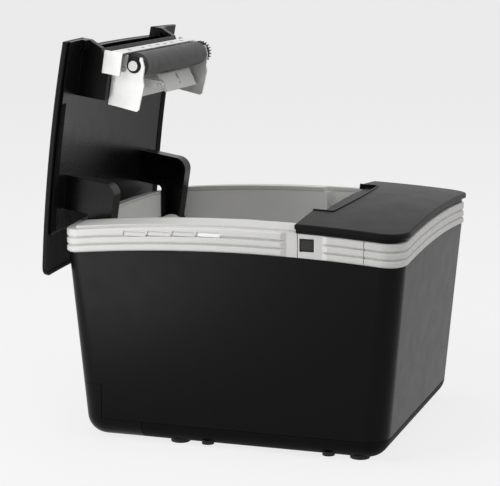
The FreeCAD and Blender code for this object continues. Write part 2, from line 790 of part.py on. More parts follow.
def exit_notch():
    """Notch in the lid's front edge through which the paper leaves."""
    return box(-EXIT_HALF, EXIT_HALF, -REACH, SPLIT_Y + EXIT_NOTCH, 0, REACH)


def lid_cover():
    """Outer skin of the lid: a shallow domed tray whose rear skirt swings clear of the trim."""
    front = SPLIT_Y + GAP
    skirt_front = LID_REAR - LID_SKIRT_REAR
    plan = cover_plan(0).common(box(-REACH, REACH, front, REACH, -REACH, REACH))
    block = layer(plan, MARGIN_TOP + LID_SKIRT_LIFT, COVER_TOP)
    block = block.makeFillet(LID_EDGE_ROUND, [e for e in block.Edges if crown_edge(e, COVER_TOP)])
    half = COVER_HALF - COVER_SKIN
    inside = box(-half, half, front + COVER_SKIN, skirt_front, 0, REACH)
    inside = inside.common(dome(COVER_TOP - COVER_SKIN))
    sides = box(-REACH, REACH, -REACH, skirt_front, 0, REACH).common(dome(COVER_LOW))
    return block.cut(inside).cut(sides).cut(exit_notch())


def arm_profile(inset):
    """Outline of a hinge arm seen from the side, drawn in by an inset."""
    top = 2 * COVER_TOP
    low = ARM_LOW_Z + inset
    end_r = ARM_END_R - inset
    return [
        (ARM_FRONT - ARM_EDGE + inset, top),
        (ARM_FRONT + ARM_EDGE + inset, low),
        (HINGE_Y - ARM_END_R, low),
        (HINGE_Y, HINGE_Z - end_r),
        (HINGE_Y, HINGE_Z + end_r),
        (ARM_BEND - inset, ARM_NECK_Z - inset),
        (ARM_BEND - inset, top),
    ]


def arm_block(inset, x, width):
    """A hinge arm as a thick plate, drawn in by an inset."""
    points = arm_profile(inset)
    plate = plate_yz(points, x, width)
    chin = points[1]
    bend = points[5]
    corner = long_edges(plate, lambda p: math.hypot(p.y - chin[0], p.z - chin[1]) < FIT)
    plate = plate.makeFillet(ARM_CORNER_R - inset, corner)
    inner = long_edges(plate, lambda p: math.hypot(p.y - bend[0], p.z - bend[1]) < FIT)
    plate = plate.makeFillet(FRAME_CORNER_R + inset, inner)
    eye = rod(ARM_END_R - inset, V(x, HINGE_Y, HINGE_Z), width, RIGHT)
    return join([plate, eye])


def hinge_arm():
    """Left hinge arm: a channel that hangs from the lid and necks back to the hinge line."""
    x = -ARM_IN - ARM_W
    arm = arm_block(0, x, ARM_W).common(dome(frame_top()))
    hollow = arm_block(ARM_WALL, x + ARM_WALL, ARM_W).common(dome(frame_top() - PANEL_T))
    boss = rod(ARM_END_R, V(x, HINGE_Y, HINGE_Z), ARM_W, RIGHT)
    arm = join([arm.cut(hollow), boss])
    return arm.cut(rod(HINGE_PIN_R + FIT, V(x - ARM_W, HINGE_Y, HINGE_Z), 3 * ARM_W, RIGHT))


def frame_top():
    """Crown of the inner frame's upper face, just under the lid's skin."""
    return COVER_TOP - COVER_SKIN - SEAT


def housing_block(inset):
    """The box under the lid's front edge that carries the roller bracket."""
    notch_front = SPLIT_Y + GAP
    points = [
        (notch_front + inset, 2 * COVER_TOP),
        (notch_front + inset, HOUSING_NOSE_Z + inset / 2),
        (HOUSING_CHIN_Y + inset, HOUSING_LOW_FRONT + inset),
        (BRACKET_WEB_FRONT - inset, HOUSING_LOW_REAR + inset),
        (HOUSING_REAR - inset, HOUSING_LOW_REAR + inset),
        (HOUSING_REAR - inset, 2 * COVER_TOP),
    ]
    half = HOUSING_HALF - inset
    return plate_yz(points, -half, 2 * half)


def lid_frame():
    """Inner frame of the lid: panel, front housing with its ears, and the two hinge arms."""
    top = frame_top()
    under = top - PANEL_T
    front = SPLIT_Y + GAP
    behind = box(-REACH, REACH, front, PANEL_REAR, -REACH, REACH)
    panel = layer(cover_plan(PANEL_INSET).common(behind), under, top)
    housing = housing_block(0).common(dome(top))
    hollow = housing_block(HOUSING_WALL).common(dome(under))
    ear = box(-EAR_OUT, -EXIT_HALF, front, front + EAR_T, HOUSING_NOSE_Z, REACH).common(dome(top))
    solid = join([panel, housing.cut(hollow), ear, mirrored(ear)] + both_sides(hinge_arm()))
    skin = box(-REACH, REACH, -REACH, front + COVER_SKIN + SEAT, 0, REACH).cut(dome(COVER_LOW - SEAT))
    solid = solid.cut(skin)
    mouth = exit_notch().cut(box(-EXIT_HALF, EXIT_HALF, HOUSING_CHIN_Y, 0, 0, HOUSING_LOW_FRONT))
    solid = solid.cut(mouth)
    hole_top = BRACKET_WEB_Z + HOUSING_WALL + 2 * PLATE_T
    for x, y in bracket_screw_places():
        solid = solid.cut(rod(MECH_SCREW_R + FIT, V(x, y, 0), hole_top, UP))
    return solid


def bracket_plate(x0):
    """One side plate of the roller bracket, with the open notch that takes the bush."""
    top = BRACKET_WEB_Z + PLATE_T
    points = [
        (BRACKET_FRONT, PLATEN_Z + BUSH_R + BRACKET_HOLE_R),
        (BRACKET_FRONT + BRACKET_NOSE_R, top),
        (BRACKET_WEB_FRONT, top),
        (BRACKET_WEB_FRONT + BRACKET_NOSE_R, top),
        (BRACKET_WEB_REAR, top),
        (BRACKET_WEB_REAR + PLATE_T, BRACKET_LOW_Z + PLATE_T),
        (BRACKET_WEB_REAR, BRACKET_LOW_Z),
        (BRACKET_HOLE_Y + 2 * BRACKET_NOSE_R, BRACKET_LOW_Z - PLATE_T),
        (BRACKET_HOLE_Y + BRACKET_NOSE_R, BRACKET_LOW_Z),
        (PLATEN_Y, BRACKET_LOW_Z),
        (BRACKET_FRONT + 2 * PLATE_T, BRACKET_LOW_Z + PLATE_T),
        (BRACKET_FRONT, PLATEN_Z - BUSH_R),
    ]
    plate = plate_yz(points, x0, PLATE_T)
    notch = rod(BUSH_R + FIT, V(x0, PLATEN_Y, PLATEN_Z), PLATE_T, RIGHT)
    mouth = box(x0, x0 + PLATE_T, -REACH, PLATEN_Y, PLATEN_Z - SHAFT_R, PLATEN_Z + BUSH_R + FIT)
    hole = rod(BRACKET_HOLE_R, V(x0, BRACKET_HOLE_Y, BRACKET_HOLE_Z), PLATE_T, RIGHT)
    return plate.cut(notch).cut(mouth).cut(hole)


def bracket_screw_places():
    """Where the roller bracket is screwed to the lid housing."""
    y = (BRACKET_WEB_FRONT + BRACKET_WEB_REAR) / 2
    return [(side * BRACKET_SCREW_X, y) for side in (-1, 1)]


def platen_bracket():
    """Bent steel channel under the lid that carries the roller and the flap."""
    inner = BRACKET_HALF - PLATE_T
    web = box(-BRACKET_HALF, BRACKET_HALF, BRACKET_WEB_FRONT, BRACKET_WEB_REAR,
              BRACKET_WEB_Z, BRACKET_WEB_Z + PLATE_T)
    parts = [web, bracket_plate(-BRACKET_HALF), bracket_plate(inner)]
    for x in (FLAP_LEFT - GAP - PLATE_T, FLAP_RIGHT + GAP):
        ear = box(x, x + PLATE_T, FLAP_PIN_Y - FLAP_HUB_R, FLAP_PIN_Y + FLAP_HUB_R,
                  FLAP_PIN_Z, BRACKET_WEB_Z + PLATE_T)
        eye = rod(FLAP_HUB_R, V(x, FLAP_PIN_Y, FLAP_PIN_Z), PLATE_T, RIGHT)
        parts.append(join([ear, eye]).cut(rod(FLAP_PIN_R + FIT, V(x, FLAP_PIN_Y, FLAP_PIN_Z),
                                              PLATE_T, RIGHT)))
    bracket = join(parts)
    for x, y in bracket_screw_places():
        bracket = bracket.cut(rod(MECH_SCREW_R + SEAT, V(x, y, 0), REACH, UP))
    return bracket


def bracket_screws():
    """Screws through the bracket's web into the lid housing."""
    screws = []
    for x, y in bracket_screw_places():
        head = rod(MECH_SCREW_HEAD_R, V(x, y, BRACKET_WEB_Z - MECH_SCREW_HEAD_T), MECH_SCREW_HEAD_T, UP)
        shank = rod(MECH_SCREW_R, V(x, y, BRACKET_WEB_Z - FIT), HOUSING_WALL + 2 * PLATE_T, UP)
        slot = box(x - MECH_SCREW_HEAD_R, x + MECH_SCREW_HEAD_R, y - PLATE_T / 4, y + PLATE_T / 4, 0,
                   BRACKET_WEB_Z - MECH_SCREW_HEAD_T / 2)
        screws.append(head.fuse(shank).cut(slot))
    return screws


def counter_blade():
    """Pierced steel strip in front of the roller, against which the cutter shears."""
    strip = box(-COUNTER_HALF, COUNTER_HALF, COUNTER_Y, COUNTER_Y + BLADE_T, COUNTER_LOW, COUNTER_HIGH)
    shelf_half = BRACKET_HALF - PLATE_T - GAP
    shelf = box(-shelf_half, shelf_half, COUNTER_Y, BRACKET_WEB_FRONT - GAP,
                COUNTER_HIGH - BLADE_T, COUNTER_HIGH)
    tab_x = HOUSING_HALF + GAP
    tab = box(-tab_x - BLADE_T, -tab_x, COUNTER_Y, COUNTER_Y + COUNTER_TAB_LONG,
              COUNTER_HIGH - COUNTER_TAB_TALL, COUNTER_HIGH + COUNTER_TAB_TALL / 2)
    link = box(-tab_x - BLADE_T, -COUNTER_HALF, COUNTER_Y, COUNTER_Y + BLADE_T,
               COUNTER_HIGH - COUNTER_TAB_TALL, COUNTER_HIGH)
    blade = join([strip, shelf, tab, link, mirrored(tab), mirrored(link)])
    middle = (COUNTER_LOW + COUNTER_HIGH) / 2
    for x in COUNTER_HOLES:
        blade = blade.cut(box(x - COUNTER_HOLE_W / 2, x + COUNTER_HOLE_W / 2, -REACH, COUNTER_Y + BLADE_T,
                              middle - COUNTER_HOLE_H / 2, middle + COUNTER_HOLE_H / 2))
    return blade


def platen_shaft():
    """Steel shaft of the roller, thicker inside the rubber."""
    start = V(-SHAFT_LEFT, PLATEN_Y, PLATEN_Z)
    thin = rod(SHAFT_R, start, SHAFT_LEFT + SHAFT_RIGHT, RIGHT)
    core = rod(SHAFT_CORE_R, V(-ROLLER_HALF, PLATEN_Y, PLATEN_Z), 2 * ROLLER_HALF, RIGHT)
    return thin.fuse(core).removeSplitter()


def platen_rubber():
    """Rubber sleeve of the roller."""
    start = V(-ROLLER_HALF, PLATEN_Y, PLATEN_Z)
    return tube(ROLLER_R, SHAFT_CORE_R + FIT, start, 2 * ROLLER_HALF, RIGHT)


def platen_bushes():
    """Flanged plain bearings in the bracket's notches."""
    outer = BRACKET_HALF
    body = rod(BUSH_R, V(-outer, PLATEN_Y, PLATEN_Z), PLATE_T + BUSH_FLANGE_T, RIGHT)
    flange = rod(BUSH_FLANGE_R, V(-outer + PLATE_T, PLATEN_Y, PLATEN_Z), BUSH_FLANGE_T, RIGHT)
    bore = rod(SHAFT_R + FIT, V(-outer, PLATEN_Y, PLATEN_Z), PLATE_T + 2 * BUSH_FLANGE_T, RIGHT)
    return both_sides(body.fuse(flange).cut(bore))


def gear(teeth, phase, bore, place, width, axis):
    """A spur gear with straight flanks, its first tooth at a phase angle, and a bored middle."""
    pitch_r = MODULE * teeth / 2
    step = 2 * math.pi / teeth
    tip = pitch_r + TOOTH_TIP * MODULE
    root = pitch_r - TOOTH_ROOT * MODULE
    half = step * TOOTH_SHARE / 2
    across = V(axis.z, axis.x, axis.y)
    upright = axis.cross(across)
    points = []
    for i in range(teeth):
        middle = phase + i * step
        flanks = ((root, -TOOTH_AT_ROOT), (tip, -TOOTH_AT_TIP), (tip, TOOTH_AT_TIP), (root, TOOTH_AT_ROOT))
        for radius, turn in flanks:
            angle = middle + turn * half
            arm = across * math.cos(angle) + upright * math.sin(angle)
            points.append(place + arm * radius)
    face = Part.Face(Part.makePolygon(points + points[:1]))
    return face.extrude(axis * width).cut(rod(bore, place, width, axis))


def centre_distance(first, second):
    """Distance between two meshing gears."""
    return MODULE * (first + second) / 2 + GEAR_SLACK


def polar(y, z, distance, angle):
    """A point at a distance and angle from another, seen from the right."""
    turn = math.radians(angle)
    return y + distance * math.cos(turn), z + distance * math.sin(turn)


IDLER_Y, IDLER_Z = polar(PLATEN_Y, PLATEN_Z, centre_distance(PLATEN_TEETH, IDLER_TEETH), IDLER_ANGLE)
MOTOR_Y, MOTOR_Z = polar(IDLER_Y, IDLER_Z, centre_distance(IDLER_TEETH, PINION_TEETH), PINION_ANGLE)


def platen_gear():
    """Small gear on the right end of the roller."""
    phase = math.radians(IDLER_ANGLE) + math.pi / PLATEN_TEETH
    return gear(PLATEN_TEETH, phase, SHAFT_R + FIT, V(GEAR_X, PLATEN_Y, PLATEN_Z), GEAR_W, RIGHT)


def idler_phase():
    """Angle of the idler tooth that points at the roller."""
    return math.radians(IDLER_ANGLE) + math.pi


def idler_gear():
    """Gear that drives the roller once the lid is shut."""
    return gear(IDLER_TEETH, idler_phase(), STUD_R + FIT, V(GEAR_X, IDLER_Y, IDLER_Z), GEAR_W, RIGHT)


def motor_pinion():
    """Pinion on the motor shaft, in mesh with the idler."""
    step = 2 * math.pi / IDLER_TEETH
    offset = (idler_phase() - math.radians(PINION_ANGLE)) % step
    toward = math.radians(PINION_ANGLE) + math.pi
    phase = toward - offset * IDLER_TEETH / PINION_TEETH + math.pi / PINION_TEETH
    place = V(GEAR_X, MOTOR_Y, MOTOR_Z)
    teeth = gear(PINION_TEETH, phase, MOTOR_SHAFT_R + FIT / 2, place, GEAR_W, RIGHT)
    shaft = rod(MOTOR_SHAFT_R, place, CHASSIS_HALF + SHEET_T + MOTOR_L / 2 - GEAR_X, RIGHT)
    hub = rod(2 * MOTOR_SHAFT_R, place, PLATE_T, RIGHT)
    return join([teeth, hub, shaft])


def idler_stud():
    """Shouldered stud on the chassis that the idler turns on."""
    length = CHASSIS_HALF + SHEET_T - GEAR_X + PLATE_T
    pin = rod(STUD_R, V(GEAR_X - PLATE_T, IDLER_Y, IDLER_Z), length, RIGHT)
    shoulder = rod(2 * STUD_R, V(GEAR_X + GEAR_W + GAP, IDLER_Y, IDLER_Z),
                   CHASSIS_HALF - GEAR_X - GEAR_W - GAP, RIGHT)
    clip = rod(2 * STUD_R, V(GEAR_X - GAP - PLATE_T, IDLER_Y, IDLER_Z), PLATE_T, RIGHT)
    return join([pin, shoulder, clip])


def motor_ear_places():
    """Fixing holes of the feed motor."""
    return [polar(MOTOR_Y, MOTOR_Z, MOTOR_EAR_PITCH, angle) for angle in MOTOR_EAR_ANGLES]


def stepper_motor():
    """Flat feed motor on the outside of the right side plate."""
    face = CHASSIS_HALF + SHEET_T
    body = rod(MOTOR_R, V(face, MOTOR_Y, MOTOR_Z), MOTOR_L, RIGHT)
    body = body.makeFillet(PLATE_T, long_edges(body, lambda p: p.x > face + MOTOR_L - FIT))
    parts = [body]
    for y, z in motor_ear_places():
        parts.append(rod(MOTOR_EAR_R, V(face, y, z), MOTOR_EAR_T, RIGHT))
        low = min(z, MOTOR_Z)
        parts.append(box(face, face + MOTOR_EAR_T, y - MOTOR_EAR_R, y + MOTOR_EAR_R, low, max(z, MOTOR_Z)))
    motor = join(parts)
    for y, z in motor_ear_places():
        motor = motor.cut(rod(MECH_SCREW_R + SEAT, V(face, y, z), MOTOR_EAR_T, RIGHT))
    return motor.cut(rod(MOTOR_SHAFT_R + FIT, V(face, MOTOR_Y, MOTOR_Z), MOTOR_L / 2 + GAP, RIGHT))


def motor_screws():
    """Screws of the feed motor."""
    screws = []
    face = CHASSIS_HALF + SHEET_T + MOTOR_EAR_T
    for y, z in motor_ear_places():
        head = rod(MECH_SCREW_HEAD_R, V(face, y, z), MECH_SCREW_HEAD_T, RIGHT)
        shank = rod(MECH_SCREW_R, V(face - MOTOR_EAR_T - SHEET_T, y, z), MOTOR_EAR_T + SHEET_T + FIT, RIGHT)
        screws.append(head.fuse(shank))
    return screws


def chassis_plate():
    """Left side plate of the chassis with its foot."""
    low = CASE_WALL
    points = [
        (CHASSIS_FRONT, low),
        (CHASSIS_REAR, low),
        (CHASSIS_REAR, CHASSIS_STEP_Z),
        (CHASSIS_STEP_Y, CHASSIS_STEP_Z),
        (CHASSIS_STEP_Y, CHASSIS_TOP),
        (CHASSIS_FRONT, CHASSIS_TOP),
    ]
    plate = plate_yz(points, -CHASSIS_HALF - SHEET_T, SHEET_T)
    foot = box(-CHASSIS_HALF - CHASSIS_FOOT, -CHASSIS_HALF, CHASSIS_FRONT, CHASSIS_REAR, low, low + SHEET_T)
    return plate.fuse(foot)


def chassis():
    """Bent steel chassis of the print mechanism, standing on the tray."""
    web = box(-CHASSIS_HALF - SHEET_T, CHASSIS_HALF + SHEET_T, CHASSIS_FRONT, CHASSIS_REAR,
              CHASSIS_WEB_Z, CHASSIS_WEB_Z + SHEET_T)
    bar = box(-CHASSIS_HALF - SHEET_T, CHASSIS_HALF + SHEET_T, SPRING_BAR_Y - SPRING_BAR_T, SPRING_BAR_Y,
              SPRING_BAR_LOW, HEAD_HIGH)
    bar = bar.cut(rod(CUTTER_MOTOR_R + GAP, V(0, CUTTER_PINION_Y, 0), REACH, UP))
    frame = join([chassis_plate(), mirrored(chassis_plate()), web, bar])
    holes = [
        rod(HEAD_ROD_R + FIT, V(-REACH / 2, head_rod_y(), HEAD_ROD_Z), REACH, RIGHT),
        rod(STUD_R + FIT, V(0, IDLER_Y, IDLER_Z), REACH, RIGHT),
        rod(2 * MOTOR_SHAFT_R + GAP, V(0, MOTOR_Y, MOTOR_Z), REACH, RIGHT),
    ]
    for y, z in motor_ear_places():
        holes.append(rod(MECH_SCREW_R + FIT, V(0, y, z), REACH, RIGHT))
    for hole in holes:
        frame = frame.cut(hole)
    post = POST_R + GAP
    for x, y in post_places():
        frame = frame.cut(rod(post, V(x, y, -REACH / 2), REACH, UP))
    return frame


def head_face():
    """Rear face of the print head, just in front of the roller."""
    return PLATEN_Y - ROLLER_R - HEAD_NIP


def head_rod_y():
    """Pivot of the print head."""
    return head_face() - HEAD_T - SINK_T - HEAD_LUG / 2


def print_head():
    """Ceramic plate with the raised heater line."""
    face = head_face()
    plate = box(-HEAD_HALF, HEAD_HALF, face - HEAD_T, face - SEAT, HEAD_LOW, HEAD_HIGH)
    line = box(-HEAD_HALF + HEAD_T, HEAD_HALF - HEAD_T, face - HEAD_T / 2, face,
               PLATEN_Z - HEAD_T, PLATEN_Z + HEAD_T)
    return plate.fuse(line).removeSplitter()


def head_heat_sink():
    """Ribbed aluminium bar behind the print head."""
    rear = head_face() - HEAD_T
    bar = box(-HEAD_HALF, HEAD_HALF, rear - SINK_T, rear, HEAD_LOW, HEAD_HIGH)
    lug = box(-HEAD_HALF, HEAD_HALF, rear - SINK_T - HEAD_LUG, rear - SINK_T,
              HEAD_LOW, HEAD_ROD_Z + HEAD_LUG / 2)
    bar = join([bar, lug])
    pitch = 2 * HEAD_HALF / SINK_RIBS
    for i in range(SINK_RIBS - 1):
        x = -HEAD_HALF + (i + 1) * pitch
        bar = bar.cut(box(x - SINK_RIB_T, x + SINK_RIB_T, rear - SINK_T, rear - SINK_T + SINK_SLOT,
                          HEAD_ROD_Z + HEAD_LUG / 2, HEAD_HIGH))
    return bar.cut(rod(HEAD_ROD_R + FIT, V(-HEAD_HALF, head_rod_y(), HEAD_ROD_Z), 2 * HEAD_HALF, RIGHT))


def head_rod():
    """Rod on which the print head rocks."""
    length = 2 * (CHASSIS_HALF + SHEET_T)
    return rod(HEAD_ROD_R, V(-length / 2, head_rod_y(), HEAD_ROD_Z), length, RIGHT)


def coil(radius, wire, pitch, turns, start):
    """A coil spring along Y as one unbroken wire of half-turn arcs."""
    def point(half_turns):
        angle = math.pi * half_turns
        return start + V(radius * math.cos(angle), pitch * half_turns / 2, radius * math.sin(angle))
    arcs = []
    for i in range(2 * turns):
        arcs.append(Part.Arc(point(i), point(i + 0.5), point(i + 1)).toShape())
    path = Part.Wire(arcs)
    first = arcs[0].tangentAt(arcs[0].FirstParameter)
    profile = Part.Wire(Part.makeCircle(wire / 2, point(0), first))
    return path.makePipeShell([profile], True, False)


def head_springs():
    """Two coil springs that press the print head against the roller."""
    front = SPRING_BAR_Y + GAP
    rear = head_face() - HEAD_T - SINK_T - GAP
    pitch = (rear - front - SPRING_WIRE) / SPRING_TURNS
    start = V(-SPRING_X, front + SPRING_WIRE / 2, SPRING_Z)
    spring = coil(SPRING_R, SPRING_WIRE, pitch, SPRING_TURNS, start)
    other = spring.copy()
    other.translate(RIGHT * (2 * SPRING_X))
    print("head spring gap between turns %.2f mm" % (pitch - SPRING_WIRE))
    return [spring, other]


def cutter_floor():
    """Upper face of the cutter bed."""
    return CHASSIS_TOP + CUTTER_BED_T


def cutter_bed():
    """Steel bed of the cutter on top of the chassis, with two guide rails."""
    top = cutter_floor()
    bed = box(-CUTTER_HALF, CUTTER_HALF, CUTTER_FRONT, CUTTER_REAR, CHASSIS_TOP, top)
    rail_x = KNIFE_HALF + GAP
    under = top + KNIFE_T + 2 * GAP
    rail = box(-rail_x - RAIL_W, -rail_x, CUTTER_FRONT, CUTTER_REAR, top, under + RAIL_LIP)
    lip = box(-rail_x - RAIL_W, -rail_x + RAIL_LIP, CUTTER_FRONT, CUTTER_REAR, under, under + RAIL_LIP)
    bed = join([bed, rail, lip, mirrored(rail), mirrored(lip)])
    return bed.cut(rod(2 * MOTOR_SHAFT_R + GAP, V(0, CUTTER_PINION_Y, 0), REACH, UP))


def cutter_blade():
    """Sliding blade with a shallow V edge and a rack in its slot."""
    low = cutter_floor() + GAP
    corners = [
        V(-KNIFE_HALF, KNIFE_FRONT, low),
        V(KNIFE_HALF, KNIFE_FRONT, low),
        V(KNIFE_HALF, KNIFE_EDGE, low),
        V(0, KNIFE_EDGE - KNIFE_VEE, low),
        V(-KNIFE_HALF, KNIFE_EDGE, low),
    ]
    plate = Part.Face(Part.makePolygon(corners + corners[:1])).extrude(UP * KNIFE_T)
    pitch_r = MODULE * CUTTER_PINION_TEETH / 2
    tip = pitch_r + TOOTH_TIP * MODULE
    line = -pitch_r - GEAR_SLACK
    step = math.pi * MODULE
    root_x = line - TOOTH_ROOT * MODULE
    rear = CUTTER_PINION_Y + tip + GAP
    front = CUTTER_PINION_Y - tip - KNIFE_TRAVEL - GAP
    slot = box(root_x, tip + GAP, front, rear, low, low + KNIFE_T)
    teeth = []
    for i in range(RACK_TEETH):
        y = CUTTER_PINION_Y - KNIFE_TRAVEL - step + (i + 0.5) * step
        half = step * TOOTH_SHARE / 2
        tip_x = line + TOOTH_TIP * MODULE
        points = [
            V(root_x, y - TOOTH_AT_ROOT * half, low),
            V(tip_x, y - TOOTH_AT_TIP * half, low),
            V(tip_x, y + TOOTH_AT_TIP * half, low),
            V(root_x, y + TOOTH_AT_ROOT * half, low),
        ]
        teeth.append(Part.Face(Part.makePolygon(points + points[:1])).extrude(UP * KNIFE_T))
    return join([plate.cut(slot)] + [t.common(slot) for t in teeth])


def cutter_pinion():
    """Upright pinion that drives the blade's rack."""
    step = math.pi * MODULE
    offset = KNIFE_TRAVEL % step
    phase = math.pi + offset / (MODULE * CUTTER_PINION_TEETH / 2)
    low = cutter_floor() + GAP / 2
    place = V(0, CUTTER_PINION_Y, low)
    teeth = gear(CUTTER_PINION_TEETH, phase, MOTOR_SHAFT_R + FIT / 2, place, CUTTER_PINION_W, UP)
    shaft_low = CHASSIS_TOP - CUTTER_BED_T
    high = low + CUTTER_PINION_W
    shaft = rod(MOTOR_SHAFT_R, V(0, CUTTER_PINION_Y, shaft_low), high + GAP / 2 - shaft_low, UP)
    cap = rod(2 * MOTOR_SHAFT_R, V(0, CUTTER_PINION_Y, high - PLATE_T / 2), PLATE_T / 2, UP)
    return join([teeth, shaft, cap])


def cutter_motor():
    """Motor of the cutter, under its bed."""
    top = CHASSIS_TOP
    body = rod(CUTTER_MOTOR_R, V(0, CUTTER_PINION_Y, top - CUTTER_MOTOR_L), CUTTER_MOTOR_L, UP)
    body = body.makeFillet(PLATE_T, long_edges(body, lambda p: p.z < top - CUTTER_MOTOR_L + FIT))
    return body.cut(rod(MOTOR_SHAFT_R + FIT, V(0, CUTTER_PINION_Y, top - 2 * CUTTER_BED_T), REACH, UP))


def bucket_shell():
    """Walls and cradle of the paper bucket."""
    top = PLATEAU_TOP - TRIM_WALL
    wall = BUCKET_WALL
    radius = ROLL_R + ROLL_SLACK
    cradle_half = ROLL_HALF + ROLL_SLACK
    rear = BUCKET_REAR
    front = ROLL_Y - radius
    upper = box(-BUCKET_HALF - wall, BUCKET_HALF + wall, BUCKET_STEP_Y - wall, rear + wall,
                BUCKET_FLOOR_STEP - wall, 2 * COVER_TOP)
    upper = upper.cut(box(-BUCKET_HALF, BUCKET_HALF, BUCKET_STEP_Y - REACH, rear, BUCKET_FLOOR_STEP, REACH))
    wing = box(-BUCKET_FRONT_HALF - wall, -BUCKET_HALF, TRIM_FRONT_END + GAP, BUCKET_STEP_Y,
               BUCKET_FRONT_LOW - wall, 2 * COVER_TOP)
    wing = wing.cut(box(-BUCKET_FRONT_HALF, REACH, -REACH, BUCKET_STEP_Y - wall, BUCKET_FRONT_LOW, REACH))
    wing = wing.cut(box(-BUCKET_HALF - wall, REACH, -REACH, REACH, -REACH, REACH))
    cradle = rod(radius + wall, V(-cradle_half - wall, ROLL_Y, ROLL_Z), 2 * (cradle_half + wall), RIGHT)
    sides = box(-cradle_half - wall, cradle_half + wall, front - wall, ROLL_Y + radius + wall, ROLL_Z,
                BUCKET_FLOOR_STEP)
    lower = join([cradle, sides]).cut(box(-REACH, REACH, -REACH, REACH, BUCKET_FLOOR_STEP, REACH))
    body = join([upper, wing, mirrored(wing), lower])
    room = rod(radius, V(-cradle_half, ROLL_Y, ROLL_Z), 2 * cradle_half, RIGHT)
    well = box(-cradle_half, cradle_half, front, ROLL_Y + radius, ROLL_Z, REACH)
    body = body.cut(join([room, well]))
    half = BUCKET_HALF + wall
    step = rear - BUCKET_REAR_STEP
    floor = BUCKET_FLOOR_STEP - wall
    low_rear = box(-half, half, step, REACH, floor, BUCKET_REAR_STEP_Z)
    low_wall = box(-half, half, step, step + wall, floor, BUCKET_REAR_STEP_Z)
    shelf = box(-half, half, step, rear + wall, BUCKET_REAR_STEP_Z - wall, BUCKET_REAR_STEP_Z)
    body = join([body.cut(low_rear), low_wall, shelf])
    body = body.common(dome(top - SEAT)).common(case_block(CASE_WALL + GAP, 0, 2 * DECK_Z))
    open_front = box(-REACH, REACH, -REACH, BUCKET_STEP_Y + GAP, BUCKET_FRONT_Z, REACH)
    return body.cut(open_front.common(box(-BUCKET_HALF, BUCKET_HALF, -REACH, REACH, -REACH, REACH)))


def paper_bucket():
    """Light tub for the paper roll, with the two hinge knuckles on its rear wall."""
    length = KNUCKLE_OUT - KNUCKLE_IN
    eye = rod(KNUCKLE_R, V(-KNUCKLE_OUT, HINGE_Y, HINGE_Z), length, RIGHT)
    web = box(-KNUCKLE_OUT, -KNUCKLE_IN, HINGE_Y, BUCKET_REAR + BUCKET_WALL / 2,
              BUCKET_FLOOR_STEP - BUCKET_WALL / 2, HINGE_Z)
    knuckle = join([eye, web])
    pin = rod(HINGE_PIN_R + FIT, V(-REACH / 2, HINGE_Y, HINGE_Z), REACH, RIGHT)
    tub = join([bucket_shell(), knuckle, mirrored(knuckle)])
    return tub.cut(pin)


def hinge_pins():
    """Two headed pins through the arms into the knuckles."""
    head = rod(2 * HINGE_PIN_R - GAP, V(-ARM_IN - ARM_W - GAP - PLATE_T, HINGE_Y, HINGE_Z), PLATE_T, RIGHT)
    length = ARM_IN + ARM_W + GAP + PLATE_T / 2 - KNUCKLE_IN
    shank = rod(HINGE_PIN_R, V(-KNUCKLE_IN - length, HINGE_Y, HINGE_Z), length, RIGHT)
    return both_sides(head.fuse(shank).removeSplitter())


def paper_flap():
    """Light plastic flap behind the roller that presses the paper round it."""
    length = FLAP_RIGHT - FLAP_LEFT
    lean = math.atan2(FLAP_FRONT_Z - FLAP_REAR_Z, FLAP_FRONT_Y - FLAP_REAR_Y)
    off_y = math.sin(lean) * FLAP_T
    off_z = -math.cos(lean) * FLAP_T
    points = [
        (FLAP_FRONT_Y, FLAP_FRONT_Z),
        (FLAP_REAR_Y, FLAP_REAR_Z),
        (FLAP_REAR_Y + off_y, FLAP_REAR_Z + off_z),
        (FLAP_FRONT_Y + off_y, FLAP_FRONT_Z + off_z),
    ]
    blade = plate_yz(points, FLAP_LEFT, length)
    tips = long_edges(blade, lambda p: abs(p.x - (FLAP_LEFT + FLAP_RIGHT) / 2) < FIT)
    blade = blade.makeFillet(FLAP_T / 3, tips)
    hub = rod(FLAP_HUB_R, V(FLAP_LEFT, FLAP_PIN_Y, FLAP_PIN_Z), length, RIGHT)
    flap = join([blade, hub])
    middle = (FLAP_LEFT + FLAP_RIGHT) / 2
    slot = box(middle - FLAP_SLOT_W / 2, middle + FLAP_SLOT_W / 2, FLAP_FRONT_Y + FLAP_T,
               FLAP_FRONT_Y + FLAP_T + FLAP_SLOT_L, FLAP_REAR_Z - FLAP_T, FLAP_FRONT_Z + 2 * FLAP_T)
    slot = slot.cut(rod(FLAP_HUB_R, V(FLAP_LEFT, FLAP_PIN_Y, FLAP_PIN_Z), length, RIGHT))
    return flap.cut(slot).cut(rod(FLAP_PIN_R + FIT, V(FLAP_LEFT, FLAP_PIN_Y, FLAP_PIN_Z), length, RIGHT))


def flap_pin():
    """Steel pin of the flap, held in the bracket's two ears."""
    start = FLAP_LEFT - 2 * GAP - PLATE_T
    end = FLAP_RIGHT + 2 * GAP + PLATE_T
    return rod(FLAP_PIN_R, V(start, FLAP_PIN_Y, FLAP_PIN_Z), end - start, RIGHT)


def board_top():
    """Upper face of the main board."""
    return CASE_WALL + STANDOFF_H + BOARD_T


